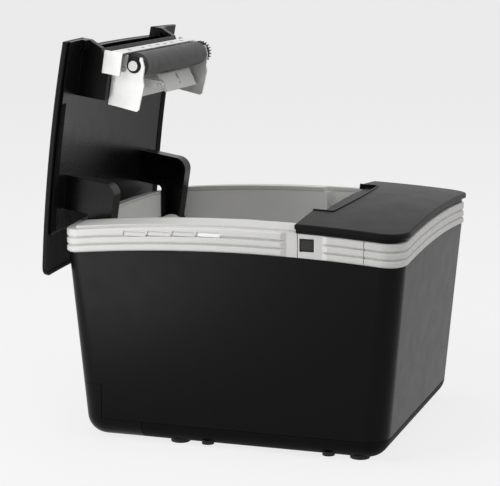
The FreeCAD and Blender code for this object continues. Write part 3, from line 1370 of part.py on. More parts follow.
def main_board():
    """Main circuit board on the tray's standoffs, with a few chips."""
    low = CASE_WALL + STANDOFF_H
    board = box(-MAIN_BOARD_HALF, MAIN_BOARD_HALF, MAIN_BOARD_FRONT, MAIN_BOARD_REAR, low, board_top())
    chips = []
    for column, row in CHIP_PLACES:
        x = column * CHIP_PITCH_X - CHIP_W / 2
        y = MAIN_BOARD_FRONT + row * CHIP_PITCH_Y - CHIP_W / 2
        chips.append(box(x, x + CHIP_W, y, y + CHIP_W, board_top() - FIT, board_top() + BOARD_T))
    board = join([board] + chips)
    for x, y in board_places():
        board = board.cut(rod(MECH_SCREW_R + SEAT, V(x, y, 0), low + REACH, UP))
    return board


def socket_block(x, width):
    """Body of a rear socket on the main board."""
    rear = MAIN_BOARD_REAR + SOCKET_PROUD
    return box(x - width / 2, x + width / 2, rear - SOCKET_L, rear, board_top(), board_top() + SOCKET_H)


def socket_hole(x, width, height):
    """Square mouth of a rear socket."""
    rear = MAIN_BOARD_REAR + SOCKET_PROUD
    middle = board_top() + SOCKET_H / 2
    return box(x - width / 2, x + width / 2, rear - SOCKET_HOLE_L, REACH,
               middle - height / 2, middle + height / 2)


def power_socket():
    """Round power inlet with three pins."""
    rear = MAIN_BOARD_REAR + SOCKET_PROUD
    middle = board_top() + SOCKET_H / 2
    hole = rod(POWER_HOLE_R, V(POWER_X, rear - SOCKET_HOLE_L, middle), REACH, REARWARD)
    pins = []
    for angle in PIN_ANGLES:
        x, z = polar(POWER_X, middle, POWER_HOLE_R / 2, angle)
        pins.append(rod(PIN_R, V(x, rear - SOCKET_HOLE_L - PIN_R, z), PIN_L, REARWARD))
    return join([socket_block(POWER_X, POWER_W).cut(hole)] + pins)


def data_socket():
    """Square data socket with its tongue."""
    rear = MAIN_BOARD_REAR + SOCKET_PROUD
    middle = board_top() + SOCKET_H / 2
    tongue = box(USB_X - USB_HOLE_W / 4, USB_X + USB_HOLE_W / 4, rear - SOCKET_HOLE_L - FIT,
                 rear - SOCKET_HOLE_L + PIN_L, middle - TONGUE_T / 2, middle + TONGUE_T / 2)
    return join([socket_block(USB_X, USB_W).cut(socket_hole(USB_X, USB_HOLE_W, USB_HOLE_H)), tongue])


def drawer_socket():
    """Socket for the cash drawer's lead."""
    body = socket_block(DRAWER_X, DRAWER_W).cut(socket_hole(DRAWER_X, DRAWER_HOLE_W, DRAWER_HOLE_H))
    low = board_top() + (SOCKET_H - DRAWER_HOLE_H) / 2
    front = MAIN_BOARD_REAR + SOCKET_PROUD - SOCKET_HOLE_L
    latch = box(DRAWER_X - PIN_L / 2, DRAWER_X + PIN_L / 2, front, REACH, low - TONGUE_T / 2, low + PIN_R)
    return body.cut(latch)


def board_screws():
    """Screws of the main board."""
    screws = []
    for x, y in board_places():
        head = rod(MECH_SCREW_HEAD_R, V(x, y, board_top()), MECH_SCREW_HEAD_T, UP)
        shank = rod(MECH_SCREW_R, V(x, y, board_top() - BOARD_T), BOARD_T + FIT, UP)
        screws.append(head.fuse(shank))
    return screws


def build():
    """Every piece by name: those of the body as they stand, those of the lid swung open."""
    shell = case_shell()
    core, ridges = trim_band()
    body = {
        "outer_casing": [outer_casing(shell)],
        "base_tray": [base_tray(shell)],
        "cable_cover": [cable_cover(shell)],
        "rubber_feet": rubber_feet(),
        "case_screws": case_screws(),
        "top_trim": [top_trim(core, ridges)],
        "button_panel": [button_panel(core, ridges)],
        "plain_panel": [mirrored(side_panel(core, ridges))],
        "front_trim": [front_trim(core, ridges)],
        "front_cover": [front_cover()],
        "status_lights": light_windows(0),
        "light_board": [light_board()],
        "feed_button": [feed_button()],
        "button_switch": [button_switch()],
        "paper_bucket": [paper_bucket()],
        "hinge_pins": hinge_pins(),
        "chassis": [chassis()],
        "print_head": [print_head()],
        "head_heat_sink": [head_heat_sink()],
        "head_rod": [head_rod()],
        "head_springs": head_springs(),
        "cutter_bed": [cutter_bed()],
        "cutter_blade": [cutter_blade()],
        "cutter_pinion": [cutter_pinion()],
        "cutter_motor": [cutter_motor()],
        "stepper_motor": [stepper_motor()],
        "motor_screws": motor_screws(),
        "motor_pinion": [motor_pinion()],
        "idler_gear": [idler_gear()],
        "idler_stud": [idler_stud()],
        "main_board": [main_board()],
        "board_screws": board_screws(),
        "power_socket": [power_socket()],
        "data_socket": [data_socket()],
        "drawer_socket": [drawer_socket()],
    }
    lid = {
        "lid_cover": [lid_cover()],
        "lid_frame": [lid_frame()],
        "platen_bracket": [platen_bracket()],
        "bracket_screws": bracket_screws(),
        "counter_blade": [counter_blade()],
        "platen_shaft": [platen_shaft()],
        "platen_rubber": [platen_rubber()],
        "platen_gear": [platen_gear()],
        "platen_bushes": platen_bushes(),
        "paper_flap": [paper_flap()],
        "flap_pin": [flap_pin()],
    }
    for name, solids in lid.items():
        body[name] = [swing_open(solid) for solid in solids]
    return body


def export(pieces):
    """Move the pieces to the middle of their footprint on the table, and write one file each."""
    whole = Part.makeCompound([Part.makeCompound(solids) for solids in pieces.values()])
    bounds = whole.optimalBoundingBox(False)
    move = V(0, -(bounds.YMin + bounds.YMax) / 2, FOOT_H)
    print("moved by y %.4f z %.4f" % (move.y, move.z))
    os.makedirs("parts", exist_ok=True)
    for name, solids in pieces.items():
        shape = Part.makeCompound(solids) if len(solids) > 1 else solids[0]
        shape = shape.copy()
        shape.translate(move)
        shape.exportStep("parts/%s.step" % name)


export(build())
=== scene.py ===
"""Looks of a receipt printer with its lid standing open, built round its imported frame, in metres."""
import logging
import math
from dataclasses import dataclass
from enum import Enum

import bmesh
import bpy
from mathutils import Matrix, Vector


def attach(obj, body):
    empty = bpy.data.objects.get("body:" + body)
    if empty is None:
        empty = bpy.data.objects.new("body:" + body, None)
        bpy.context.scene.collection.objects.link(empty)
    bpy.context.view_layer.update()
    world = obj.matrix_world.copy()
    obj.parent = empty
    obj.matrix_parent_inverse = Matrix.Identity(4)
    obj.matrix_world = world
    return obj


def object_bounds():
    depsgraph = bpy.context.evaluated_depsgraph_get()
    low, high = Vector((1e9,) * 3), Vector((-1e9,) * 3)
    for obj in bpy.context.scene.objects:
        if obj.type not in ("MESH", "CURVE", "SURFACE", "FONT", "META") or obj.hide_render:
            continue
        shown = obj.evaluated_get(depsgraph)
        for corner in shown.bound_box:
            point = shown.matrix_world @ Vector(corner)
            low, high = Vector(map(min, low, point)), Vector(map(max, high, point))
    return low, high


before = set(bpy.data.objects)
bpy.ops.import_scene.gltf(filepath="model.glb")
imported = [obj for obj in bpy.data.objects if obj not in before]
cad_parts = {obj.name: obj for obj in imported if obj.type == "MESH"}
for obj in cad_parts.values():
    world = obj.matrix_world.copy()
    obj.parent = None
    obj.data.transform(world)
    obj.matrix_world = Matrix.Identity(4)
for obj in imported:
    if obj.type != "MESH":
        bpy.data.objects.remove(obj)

CAD_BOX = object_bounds()
MM = 0.001
BEVEL_SAMPLES = 6
WORN_COSINE, FLAT_COSINE = 0.72, 0.98
Colour = tuple[float, float, float]
Place = tuple[float, float, float]
log = logging.getLogger("receipt_printer")


class Along(Enum):
    """The way in which brush or grinding marks run over a metal piece."""

    WIDTH = (0.02, 1.0, 1.0)
    DEPTH = (1.0, 0.02, 1.0)
    HEIGHT = (1.0, 1.0, 0.02)


class NodeSheet:
    """A material's node tree, with short calls to add and join its nodes."""

    def __init__(self, name: str) -> None:
        """Start a material that holds one principled shader.

        Args:
            name: the material's name.
        """
        self.material = bpy.data.materials.new(name)
        self.material.use_nodes = True
        self.tree = self.material.node_tree
        self.tree.nodes.clear()
        self.shader = self.add("ShaderNodeBsdfPrincipled")
        output = self.add("ShaderNodeOutputMaterial")
        self.join(self.shader.outputs["BSDF"], output.inputs["Surface"])
        self.place = self.add("ShaderNodeTexCoord").outputs["Object"]

    def add(self, kind: str, **values: object) -> bpy.types.Node:
        """Add a node and set its properties.

        Args:
            kind: the node's type name.
            values: property names with their values.

        Returns:
            The new node.
        """
        node = self.tree.nodes.new(kind)
        for key, value in values.items():
            setattr(node, key, value)
        return node

    def join(self, start: bpy.types.NodeSocket, end: bpy.types.NodeSocket) -> None:
        """Link an output to an input."""
        self.tree.links.new(start, end)

    def set(self, **values: object) -> None:
        """Set constants on the shader's own sockets, with spaces in names written as underscores."""
        for key, value in values.items():
            self.shader.inputs[key.replace("_", " ")].default_value = value

    def stretched(self, stretch: Place) -> bpy.types.NodeSocket:
        """Coordinates squeezed along an axis.

        Args:
            stretch: scale of each axis.

        Returns:
            The coordinate output.
        """
        mapping = self.add("ShaderNodeMapping")
        mapping.inputs["Scale"].default_value = stretch
        self.join(self.place, mapping.inputs["Vector"])
        return mapping.outputs["Vector"]

    def noise(self, size_mm: float, detail: float = 2.0,
              stretch: Place | None = None) -> bpy.types.NodeSocket:
        """A noise pattern of a given grain.

        Args:
            size_mm: size of one spot.
            detail: octaves of finer noise.
            stretch: axis scales for marks that run one way.

        Returns:
            The pattern's output, from 0 to 1.
        """
        node = self.add("ShaderNodeTexNoise")
        node.inputs["Scale"].default_value = 1.0 / (size_mm * MM)
        node.inputs["Detail"].default_value = detail
        self.join(self.stretched(stretch) if stretch else self.place, node.inputs["Vector"])
        return node.outputs["Fac"]

    def spread(self, pattern: bpy.types.NodeSocket, low: float, high: float,
               start: float = 0.3, end: float = 0.7) -> bpy.types.NodeSocket:
        """A pattern mapped to a range of values.

        Args:
            pattern: the pattern's output.
            low: value at the start.
            high: value at the end.
            start: pattern value that becomes low.
            end: pattern value that becomes high.

        Returns:
            The mapped output.
        """
        node = self.add("ShaderNodeMapRange")
        for key, value in (("From Min", start), ("From Max", end), ("To Min", low), ("To Max", high)):
            node.inputs[key].default_value = value
        self.join(pattern, node.inputs["Value"])
        return node.outputs["Result"]

    def tint(self, share: bpy.types.NodeSocket, first: object, second: Colour) -> bpy.types.NodeSocket:
        """Two colours mixed by a pattern.

        Args:
            share: how much of the second colour shows.
            first: a colour, or the output of an earlier mix.
            second: the colour mixed in.

        Returns:
            The colour output.
        """
        node = self.add("ShaderNodeMix", data_type="RGBA")
        self.join(share, node.inputs["Factor"])
        if isinstance(first, bpy.types.NodeSocket):
            self.join(first, node.inputs["A"])
        else:
            node.inputs["A"].default_value = (*first, 1.0)
        node.inputs["B"].default_value = (*second, 1.0)
        return node.outputs["Result"]

    def soft_normal(self, radius_mm: float) -> bpy.types.NodeSocket:
        """Normals that round every edge by a small radius.

        Args:
            radius_mm: radius of the rounding.

        Returns:
            The normal output.
        """
        node = self.add("ShaderNodeBevel", samples=BEVEL_SAMPLES)
        node.inputs["Radius"].default_value = radius_mm * MM
        return node.outputs["Normal"]

    def edges(self, radius_mm: float, amount: float) -> bpy.types.NodeSocket:
        """A mask that is brightest along worn edges.

        Args:
            radius_mm: width of the worn line.
            amount: value at the very edge.

        Returns:
            The mask's output.
        """
        dot = self.add("ShaderNodeVectorMath", operation="DOT_PRODUCT")
        self.join(self.soft_normal(radius_mm), dot.inputs[0])
        self.join(self.add("ShaderNodeNewGeometry").outputs["Normal"], dot.inputs[1])
        return self.spread(dot.outputs["Value"], amount, 0.0, WORN_COSINE, FLAT_COSINE)

    def relief(self, pattern: bpy.types.NodeSocket, depth_mm: float, radius_mm: float) -> None:
        """Give the shader a bump from a pattern, over softly rounded edges.

        Args:
            pattern: height pattern from 0 to 1.
            depth_mm: depth of the relief.
            radius_mm: radius of the edges.
        """
        bump = self.add("ShaderNodeBump")
        bump.inputs["Strength"].default_value = 1.0
        bump.inputs["Distance"].default_value = depth_mm * MM
        self.join(pattern, bump.inputs["Height"])
        self.join(self.soft_normal(radius_mm), bump.inputs["Normal"])
        self.join(bump.outputs["Normal"], self.shader.inputs["Normal"])


@dataclass(frozen=True)
class Plastic:
    """A moulded plastic with spark-eroded grain, faint flow mottling and paler worn edges."""

    name: str
    colour: Colour
    roughness: float = 0.45
    specular: float = 0.5
    grain_mm: float = 0.35
    grain_depth_mm: float = 0.012
    mottle: float = 0.12
    edge_mm: float = 0.35
    edge_lift: float = 0.05
    mottle_mm: float = 38.0
    gloss_mm: float = 9.0
    gloss_range: float = 0.02

    def material(self) -> bpy.types.Material:
        """Make the finish.

        Returns:
            The material.
        """
        sheet = NodeSheet(self.name)
        sheet.set(Specular_IOR_Level=self.specular)
        dark = tuple(part * (1 - self.mottle) for part in self.colour)
        pale = tuple(part + (1 - part) * self.edge_lift for part in self.colour)
        clouds = sheet.noise(self.mottle_mm, detail=4.0)
        body = sheet.tint(sheet.spread(clouds, 0.0, 1.0), self.colour, dark)
        worn = sheet.tint(sheet.edges(self.edge_mm, 1.0), body, pale)
        sheet.join(worn, sheet.shader.inputs["Base Color"])
        gloss = sheet.noise(self.gloss_mm, detail=3.0)
        rough = sheet.spread(gloss, self.roughness - self.gloss_range, self.roughness + self.gloss_range)
        sheet.join(rough, sheet.shader.inputs["Roughness"])
        sheet.relief(sheet.noise(self.grain_mm, detail=1.0), self.grain_depth_mm, self.edge_mm)
        return sheet.material


@dataclass(frozen=True)
class Metal:
    """A rolled, ground or plated metal with fine marks that run one way."""

    name: str
    colour: Colour
    roughness: float = 0.34
    marks: Along = Along.WIDTH
    mark_mm: float = 0.25
    mark_depth_mm: float = 0.004
    edge_mm: float = 0.2
    stain_mm: float = 14.0
    stain_shade: float = 0.8
    gloss_range: float = 0.08

    def material(self) -> bpy.types.Material:
        """Make the finish.

        Returns:
            The material.
        """
        sheet = NodeSheet(self.name)
        sheet.set(Metallic=1.0)
        dull = tuple(part * self.stain_shade for part in self.colour)
        stains = sheet.spread(sheet.noise(self.stain_mm, detail=5.0), 0.0, 1.0)
        sheet.join(sheet.tint(stains, self.colour, dull), sheet.shader.inputs["Base Color"])
        lines = sheet.noise(self.mark_mm, detail=3.0, stretch=self.marks.value)
        rough = sheet.spread(lines, self.roughness - self.gloss_range, self.roughness + self.gloss_range)
        sheet.join(rough, sheet.shader.inputs["Roughness"])
        sheet.relief(lines, self.mark_depth_mm, self.edge_mm)
        return sheet.material


@dataclass(frozen=True)
class Rubber:
    """A ground or moulded rubber, dull, with a dusty bloom."""

    name: str
    colour: Colour
    bloom: Colour
    roughness: float = 0.62
    grain_mm: float = 0.3
    grain_depth_mm: float = 0.02
    edge_mm: float = 0.3
    bloom_mm: float = 6.0
    bloom_most: float = 0.5
    gloss_mm: float = 3.0
    gloss_range: float = 0.06
    specular: float = 0.35

    def material(self) -> bpy.types.Material:
        """Make the finish.

        Returns:
            The material.
        """
        sheet = NodeSheet(self.name)
        sheet.set(Specular_IOR_Level=self.specular)
        dust = sheet.spread(sheet.noise(self.bloom_mm, detail=5.0), 0.0, self.bloom_most)
        sheet.join(sheet.tint(dust, self.colour, self.bloom), sheet.shader.inputs["Base Color"])
        gloss = sheet.noise(self.gloss_mm)
        rough = sheet.spread(gloss, self.roughness - self.gloss_range, self.roughness + self.gloss_range)
        sheet.join(rough, sheet.shader.inputs["Roughness"])
        sheet.relief(sheet.noise(self.grain_mm), self.grain_depth_mm, self.edge_mm)
        return sheet.material


@dataclass(frozen=True)
class LightWindows:
    """Clear windows over the status lights, of which the front one is lit, its glow painted into its colour
    as a paler tone.
    """

    name: str
    unlit: Colour
    lit: Colour
    lit_behind: float
    unlit_behind: float
    roughness: tuple[float, float] = (0.16, 0.28)
    gloss_mm: float = 2.0
    wave_mm: float = 1.2
    wave_depth_mm: float = 0.01
    edge_mm: float = 0.2
    specular: float = 0.35

    def material(self) -> bpy.types.Material:
        """Make the finish.

        Returns:
            The material.
        """
        sheet = NodeSheet(self.name)
        sheet.set(Specular_IOR_Level=self.specular)
        axes = sheet.add("ShaderNodeSeparateXYZ")
        sheet.join(sheet.place, axes.inputs["Vector"])
        # painted glow: windows ahead of lit_behind take the paler lit colour in place of emitted light
        front = sheet.spread(axes.outputs["Y"], 1.0, 0.0, self.lit_behind, self.unlit_behind)
        sheet.join(sheet.tint(front, self.unlit, self.lit), sheet.shader.inputs["Base Color"])
        rough = sheet.spread(sheet.noise(self.gloss_mm, detail=3.0), *self.roughness)
        sheet.join(rough, sheet.shader.inputs["Roughness"])
        sheet.relief(sheet.noise(self.wave_mm), self.wave_depth_mm, self.edge_mm)
        return sheet.material


@dataclass(frozen=True)
class CircuitBoard:
    """Lacquered board with tracks that show through as paler lines."""

    name: str
    lacquer: Colour
    track: Colour
    track_mm: float = 3.2
    track_sides: tuple[float, float] = (0.55, 0.75)
    track_rise_mm: float = 0.03
    roughness: tuple[float, float] = (0.26, 0.4)
    gloss_mm: float = 4.0
    edge_mm: float = 0.1
    specular: float = 0.5

    def material(self) -> bpy.types.Material:
        """Make the finish.

        Returns:
            The material.
        """
        sheet = NodeSheet(self.name)
        sheet.set(Specular_IOR_Level=self.specular)
        cells = sheet.add("ShaderNodeTexVoronoi", distance="MANHATTAN", feature="F2")
        cells.inputs["Scale"].default_value = 1.0 / (self.track_mm * MM)
        sheet.join(sheet.place, cells.inputs["Vector"])
        lines = sheet.spread(cells.outputs["Distance"], 0.0, 1.0, *self.track_sides)
        sheet.join(sheet.tint(lines, self.lacquer, self.track), sheet.shader.inputs["Base Color"])
        rough = sheet.spread(sheet.noise(self.gloss_mm, detail=3.0), *self.roughness)
        sheet.join(rough, sheet.shader.inputs["Roughness"])
        sheet.relief(lines, self.track_rise_mm, self.edge_mm)
        return sheet.material


class Finish(Enum):
    """The finishes of the printer's pieces."""

    CASE_BLACK = Plastic("case_black", (0.004, 0.004, 0.0042), roughness=0.32, specular=0.08,
                         mottle=0.05, edge_lift=0.01)
    LID_BLACK = Plastic("lid_black", (0.004, 0.004, 0.0042), roughness=0.28, specular=0.1,
                        grain_depth_mm=0.003, mottle=0.05, edge_lift=0.01)
    COVER_BLACK = Plastic("cover_black", (0.005, 0.005, 0.0052), roughness=0.44, specular=0.08,
                          mottle=0.05, edge_lift=0.01)
    BAND_LIGHT = Plastic("band_light", (0.6, 0.596, 0.58), roughness=0.42, specular=0.4, edge_mm=0.7,
                         edge_lift=0.3, mottle=0.03)
    BUCKET_LIGHT = Plastic("bucket_light", (0.72, 0.717, 0.7), roughness=0.45, specular=0.4,
                           edge_lift=0.2, mottle=0.05)
    BUTTON_DARK = Plastic("button_dark", (0.01, 0.01, 0.0105), roughness=0.4, specular=0.3)
    FLAP_PALE = Plastic("flap_pale", (0.74, 0.735, 0.715), roughness=0.45, specular=0.4, edge_lift=0.2,
                        mottle=0.05)
    GEAR_BLACK = Plastic("gear_black", (0.008, 0.008, 0.0085), roughness=0.4, specular=0.2,
                         grain_mm=0.2, edge_lift=0.02)
    SOCKET_BLACK = Plastic("socket_black", (0.02, 0.02, 0.02), roughness=0.4, specular=0.45,
                           grain_mm=0.2)
    HEAD_CERAMIC = Plastic("head_ceramic", (0.62, 0.58, 0.5), roughness=0.25, specular=0.5,
                           grain_depth_mm=0.002)
    TRAY_BLACK = Plastic("tray_black", (0.004, 0.004, 0.0042), roughness=0.6, specular=0.06,
                         mottle=0.05, edge_lift=0.01)
    # near-black matte for the sheets of painted shade on the lid and behind the blade strip, and for the
    # lips behind the rear cover's seam
    SHADE_AND_LIP_BLACK = Plastic("shade_and_lip_black", (0.002, 0.002, 0.0021), roughness=0.7, specular=0.05,
                         edge_lift=0.0)
    SCREW_BLACK = Metal("screw_black", (0.03, 0.03, 0.031), roughness=0.4, marks=Along.DEPTH)
    ZINC_STEEL = Metal("zinc_steel", (0.64, 0.64, 0.63), roughness=0.55)
    BLADE_STEEL = Metal("blade_steel", (0.72, 0.72, 0.71), roughness=0.36)
    GROUND_STEEL = Metal("ground_steel", (0.58, 0.58, 0.585), roughness=0.3, marks=Along.HEIGHT)
    SCREW_STEEL = Metal("screw_steel", (0.5, 0.5, 0.51), roughness=0.32, marks=Along.DEPTH)
    SPRING_STEEL = Metal("spring_steel", (0.55, 0.55, 0.56), roughness=0.3, marks=Along.DEPTH)
    PINION_BRASS = Metal("pinion_brass", (0.75, 0.58, 0.3), roughness=0.3)
    MOTOR_CAN = Metal("motor_can", (0.5, 0.5, 0.51), roughness=0.38)
    HEAT_SINK = Metal("heat_sink", (0.78, 0.78, 0.79), roughness=0.36)
    ROLLER_RUBBER = Rubber("roller_rubber", (0.05, 0.05, 0.051), (0.085, 0.085, 0.086))
    FOOT_RUBBER = Rubber("foot_rubber", (0.012, 0.012, 0.012), (0.03, 0.03, 0.03), roughness=0.7)
    BOARD_GREEN = CircuitBoard("board_green", (0.012, 0.09, 0.04), (0.05, 0.2, 0.09))
    LIGHT_WINDOW = LightWindows("light_window", (0.57, 0.566, 0.55), (0.8, 0.8, 0.79), lit_behind=8.5 * MM,
                                unlit_behind=9.5 * MM)


class Wardrobe:
    """Keeps one material for each finish, made when it is first asked for."""

    def __init__(self) -> None:
        """Start with nothing made."""
        self.made: dict[Finish, bpy.types.Material] = {}

    def material(self, finish: Finish) -> bpy.types.Material:
        """Look a finish up, and make it the first time.

        Args:
            finish: the finish asked for.

        Returns:
            Its material.
        """
        if finish not in self.made:
            self.made[finish] = finish.value.material()
        return self.made[finish]

    def dress(self, node: str, finish: Finish) -> None:
        """Give a node of the frame its finish.

        Args:
            node: the node's name.
            finish: what its surface is made of.
        """
        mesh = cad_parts[node].data
        mesh.materials.clear()
        mesh.materials.append(self.material(finish))
        log.info("%s is %s", node, finish.value.name)

    def dress_all(self, finishes: dict[str, Finish]) -> None:
        """Give several nodes their finishes."""
        for node, finish in finishes.items():
            self.dress(node, finish)

    def piece(self, name: str, verts: list[Vector], faces: list[tuple[int, ...]], body: str,
              finish: Finish) -> bpy.types.Object:
        """Make a piece that the frame lacks, and let it ride on a body.

        Args:
            name: the piece's name.
            verts: corners in metres.
            faces: corner numbers of each face.
            body: the body that it moves with.
            finish: what its surface is made of.

        Returns:
            The new object.
        """
        mesh = bpy.data.meshes.new(name)
        mesh.from_pydata(verts, [], faces)
        shape = bmesh.new()
        shape.from_mesh(mesh)
        bmesh.ops.recalc_face_normals(shape, faces=shape.faces)
        shape.to_mesh(mesh)
        shape.free()
        mesh.materials.append(self.material(finish))
        holder = bpy.data.objects.new(name, mesh)
        bpy.context.scene.collection.objects.link(holder)
        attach(holder, body)
        log.info("%s is %s", name, finish.value.name)
        return holder

    def bar(self, name: str, verts: list[Vector], body: str, slot: str, finish: Finish) -> bpy.types.Object:
        """Make a closed bar from its four-cornered sections.

        Args:
            name: the piece's name.
            verts: four corners of each section in turn, in metres.
            body: the body that it moves with.
            slot: the record's material slot; not used.
            finish: what its surface is made of.

        Returns:
            The new object.
        """
        faces = [(0, 1, 2, 3), tuple(len(verts) - 1 - corner for corner in range(4))]
        for base in range(0, len(verts) - 4, 4):
            for corner in range(4):
                after = (corner + 1) % 4
                faces.append((base + corner, base + 4 + corner, base + 4 + after, base + after))
        return self.piece(name, verts, faces, body, finish)


@dataclass
class Casing:
    """Body wall, tray, rear cover with the lips behind its seam, feet and their screws."""

    wardrobe: Wardrobe
    lip_wall: tuple[float, float] = (67.1 * MM, 67.28 * MM)
    lip_z: tuple[float, float] = (10.8 * MM, 26.8 * MM)
    lip_y: tuple[float, float] = (55.8 * MM, 60.8 * MM)
    lip_slant: float = 0.8 * MM
    lip_thick: float = 0.8 * MM

    def seam_lip(self, name: str, side: int) -> None:
        """Set a lip on the body wall behind the seam of the rear cover.

        Args:
            name: the lip's name.
            side: -1 for the left, 1 for the right.
        """
        front, rear = self.lip_y
        verts: list[Vector] = []
        for wall, z in zip(self.lip_wall, self.lip_z):
            clear = wall - self.lip_slant
            outer = [(wall, front), (clear, rear)]
            inner = [(x - self.lip_thick, y) for x, y in reversed(outer)]
            verts += [Vector((side * x, y, z)) for x, y in outer + inner]
        self.wardrobe.bar(name, verts, "base", "black_abs", Finish.SHADE_AND_LIP_BLACK)

    def build(self) -> None:
        """Dress the body's pieces and set the lips."""
        self.seam_lip("seam_lip_left", -1)
        self.seam_lip("seam_lip_right", 1)
        for node in ("outer_casing", "cable_cover"):
            self.wardrobe.dress(node, Finish.CASE_BLACK)
        self.wardrobe.dress("base_tray", Finish.TRAY_BLACK)
        self.wardrobe.dress("rubber_feet", Finish.FOOT_RUBBER)
        self.wardrobe.dress("case_screws", Finish.SCREW_BLACK)


@dataclass
class TrimBand:
    """Light ribbed band round the top, with the button and the status lights."""

    wardrobe: Wardrobe

    def build(self) -> None:
        """Dress the band, its button, its lights and the boards behind them."""
        for node in ("top_trim", "button_panel", "plain_panel", "front_trim"):
            self.wardrobe.dress(node, Finish.BAND_LIGHT)
        self.wardrobe.dress("feed_button", Finish.BUTTON_DARK)
        self.wardrobe.dress("status_lights", Finish.LIGHT_WINDOW)
        for node in ("light_board", "button_switch"):
            self.wardrobe.dress(node, Finish.BOARD_GREEN)


@dataclass(frozen=True)
class Dome:
    """The shallow dome on which the printer's top surfaces lie."""

    crown: float
    middle_y: float = -12.736 * MM
    radius: float = 800.0 * MM

    def above(self, x: float, y: float) -> Vector:
        """The point of the dome above a place in the plan."""
        run = x ** 2 + (y - self.middle_y) ** 2
        return Vector((x, y, self.crown - self.radius + math.sqrt(self.radius ** 2 - run)))


@dataclass(frozen=True)
class Hinge:
    """The lid's hinge, which carries places on the shut lid to where they lie when it stands open."""

    y: float = 64.964 * MM
    z: float = 85.8 * MM
    open_deg: float = 81.2

    def opened(self, point: Vector) -> Vector:
        """Carry a point of the shut lid to where it lies when the lid stands open.

        Args:
            point: the point on the shut lid.

        Returns:
            The point on the open lid.
        """
        turn = Matrix.Rotation(math.radians(-self.open_deg), 3, "X")
        pivot = Vector((0.0, self.y, self.z))
        return turn @ (point - pivot) + pivot


@dataclass
class RecessLips:
    """Raised lips round the paper exit's recess in the front cover."""

    wardrobe: Wardrobe
    half: float = 43.0 * MM
    front: float = -51.636 * MM
    bow: float = 2.5 * MM
    rear: float = -39.4 * MM
    width: float = 0.8 * MM
    rise: float = 0.5 * MM
    top: Dome = Dome(115.4 * MM)
    steps: int = 48

    def path(self) -> list[Vector]:
        """Draw the middle line of the lips, from one rear end round the bowed front to the other.

        Returns:
            The line's points.
        """
        between = (self.rear + self.front + self.bow) / 2
        line = [self.top.above(-self.half, y) for y in (self.rear, between)]
        for step in range(self.steps + 1):
            x = self.half * (2 * step / self.steps - 1)
            line.append(self.top.above(x, self.front + self.bow * (x / self.half) ** 2))
        return line + [self.top.above(self.half, y) for y in (between, self.rear)]

    def build(self) -> None:
        """Sweep a flat bar along the path and dress it."""
        line = self.path()
        verts: list[Vector] = []
        for index, point in enumerate(line):
            ahead = (line[min(index + 1, len(line) - 1)] - line[max(index - 1, 0)]).normalized()
            side = ahead.cross(Vector((0, 0, 1))).normalized() * self.width / 2
            up = Vector((0, 0, self.rise))
            verts += [point - side - up, point + side - up, point + side + up, point - side + up]
        self.wardrobe.bar("recess_lips", verts, "base", "black_abs", Finish.COVER_BLACK)


@dataclass
class PlateauInfill:
    """Strip that carries the plateau on along the bucket's left front edge."""

    wardrobe: Wardrobe
    left: float = -62.0 * MM
    right: float = -55.6 * MM
    front: float = -38.9 * MM
    rear: float = -16.7 * MM
    thick: float = 1.6 * MM
    top: Dome = Dome(111.5 * MM)
    steps: int = 8

    def build(self) -> None:
        """Build the strip as a bar that follows the dome, and dress it."""
        verts: list[Vector] = []
        down = Vector((0.0, 0.0, self.thick))
        for step in range(self.steps + 1):
            y = self.front + (self.rear - self.front) * step / self.steps
            near, far = self.top.above(self.left, y), self.top.above(self.right, y)
            verts += [near - down, far - down, far, near]
        self.wardrobe.bar("plateau_infill", verts, "base", "light_abs", Finish.BAND_LIGHT)


@dataclass
class Lid:
    """Lid skin, its inner frame with the arms, and the hinge pins."""

    wardrobe: Wardrobe
    hinge: Hinge = Hinge()
    under: Dome = Dome(111.8 * MM)
    shade_band_in: float = 64.6 * MM
    shade_band_out: float = 69.7 * MM
    shade_band_front: float = -9.0 * MM
    shade_band_rear: float = 53.0 * MM
    shade_band_thick: float = 0.12 * MM
    steps: int = 16

    def shade_band(self, name: str, side: int) -> None:
        """Lay a flat dark band of painted shade along one side edge of the lid's inner panel.

        Args:
            name: the band's name.
            side: -1 for the left edge and 1 for the right edge.
        """
        verts: list[Vector] = []
        down = Vector((0.0, 0.0, self.shade_band_thick))
        for step in range(self.steps + 1):
            y = self.shade_band_front + (self.shade_band_rear - self.shade_band_front) * step / self.steps
            inner = self.under.above(side * self.shade_band_in, y)
            outer = self.under.above(side * self.shade_band_out, y)
            verts += [self.hinge.opened(point) for point in (inner - down, outer - down, outer, inner)]
        self.wardrobe.bar(name, verts, "lid", "lid_black", Finish.SHADE_AND_LIP_BLACK)

    def build(self) -> None:
        """Dress the lid and the front cover that it meets, and lay the bands of painted shade."""
        self.shade_band("lid_shade_band_left", -1)
        self.shade_band("lid_shade_band_right", 1)
        self.wardrobe.dress("lid_cover", Finish.COVER_BLACK)
        self.wardrobe.dress("front_cover", Finish.COVER_BLACK)
        self.wardrobe.dress("lid_frame", Finish.LID_BLACK)
        self.wardrobe.dress("hinge_pins", Finish.GROUND_STEEL)


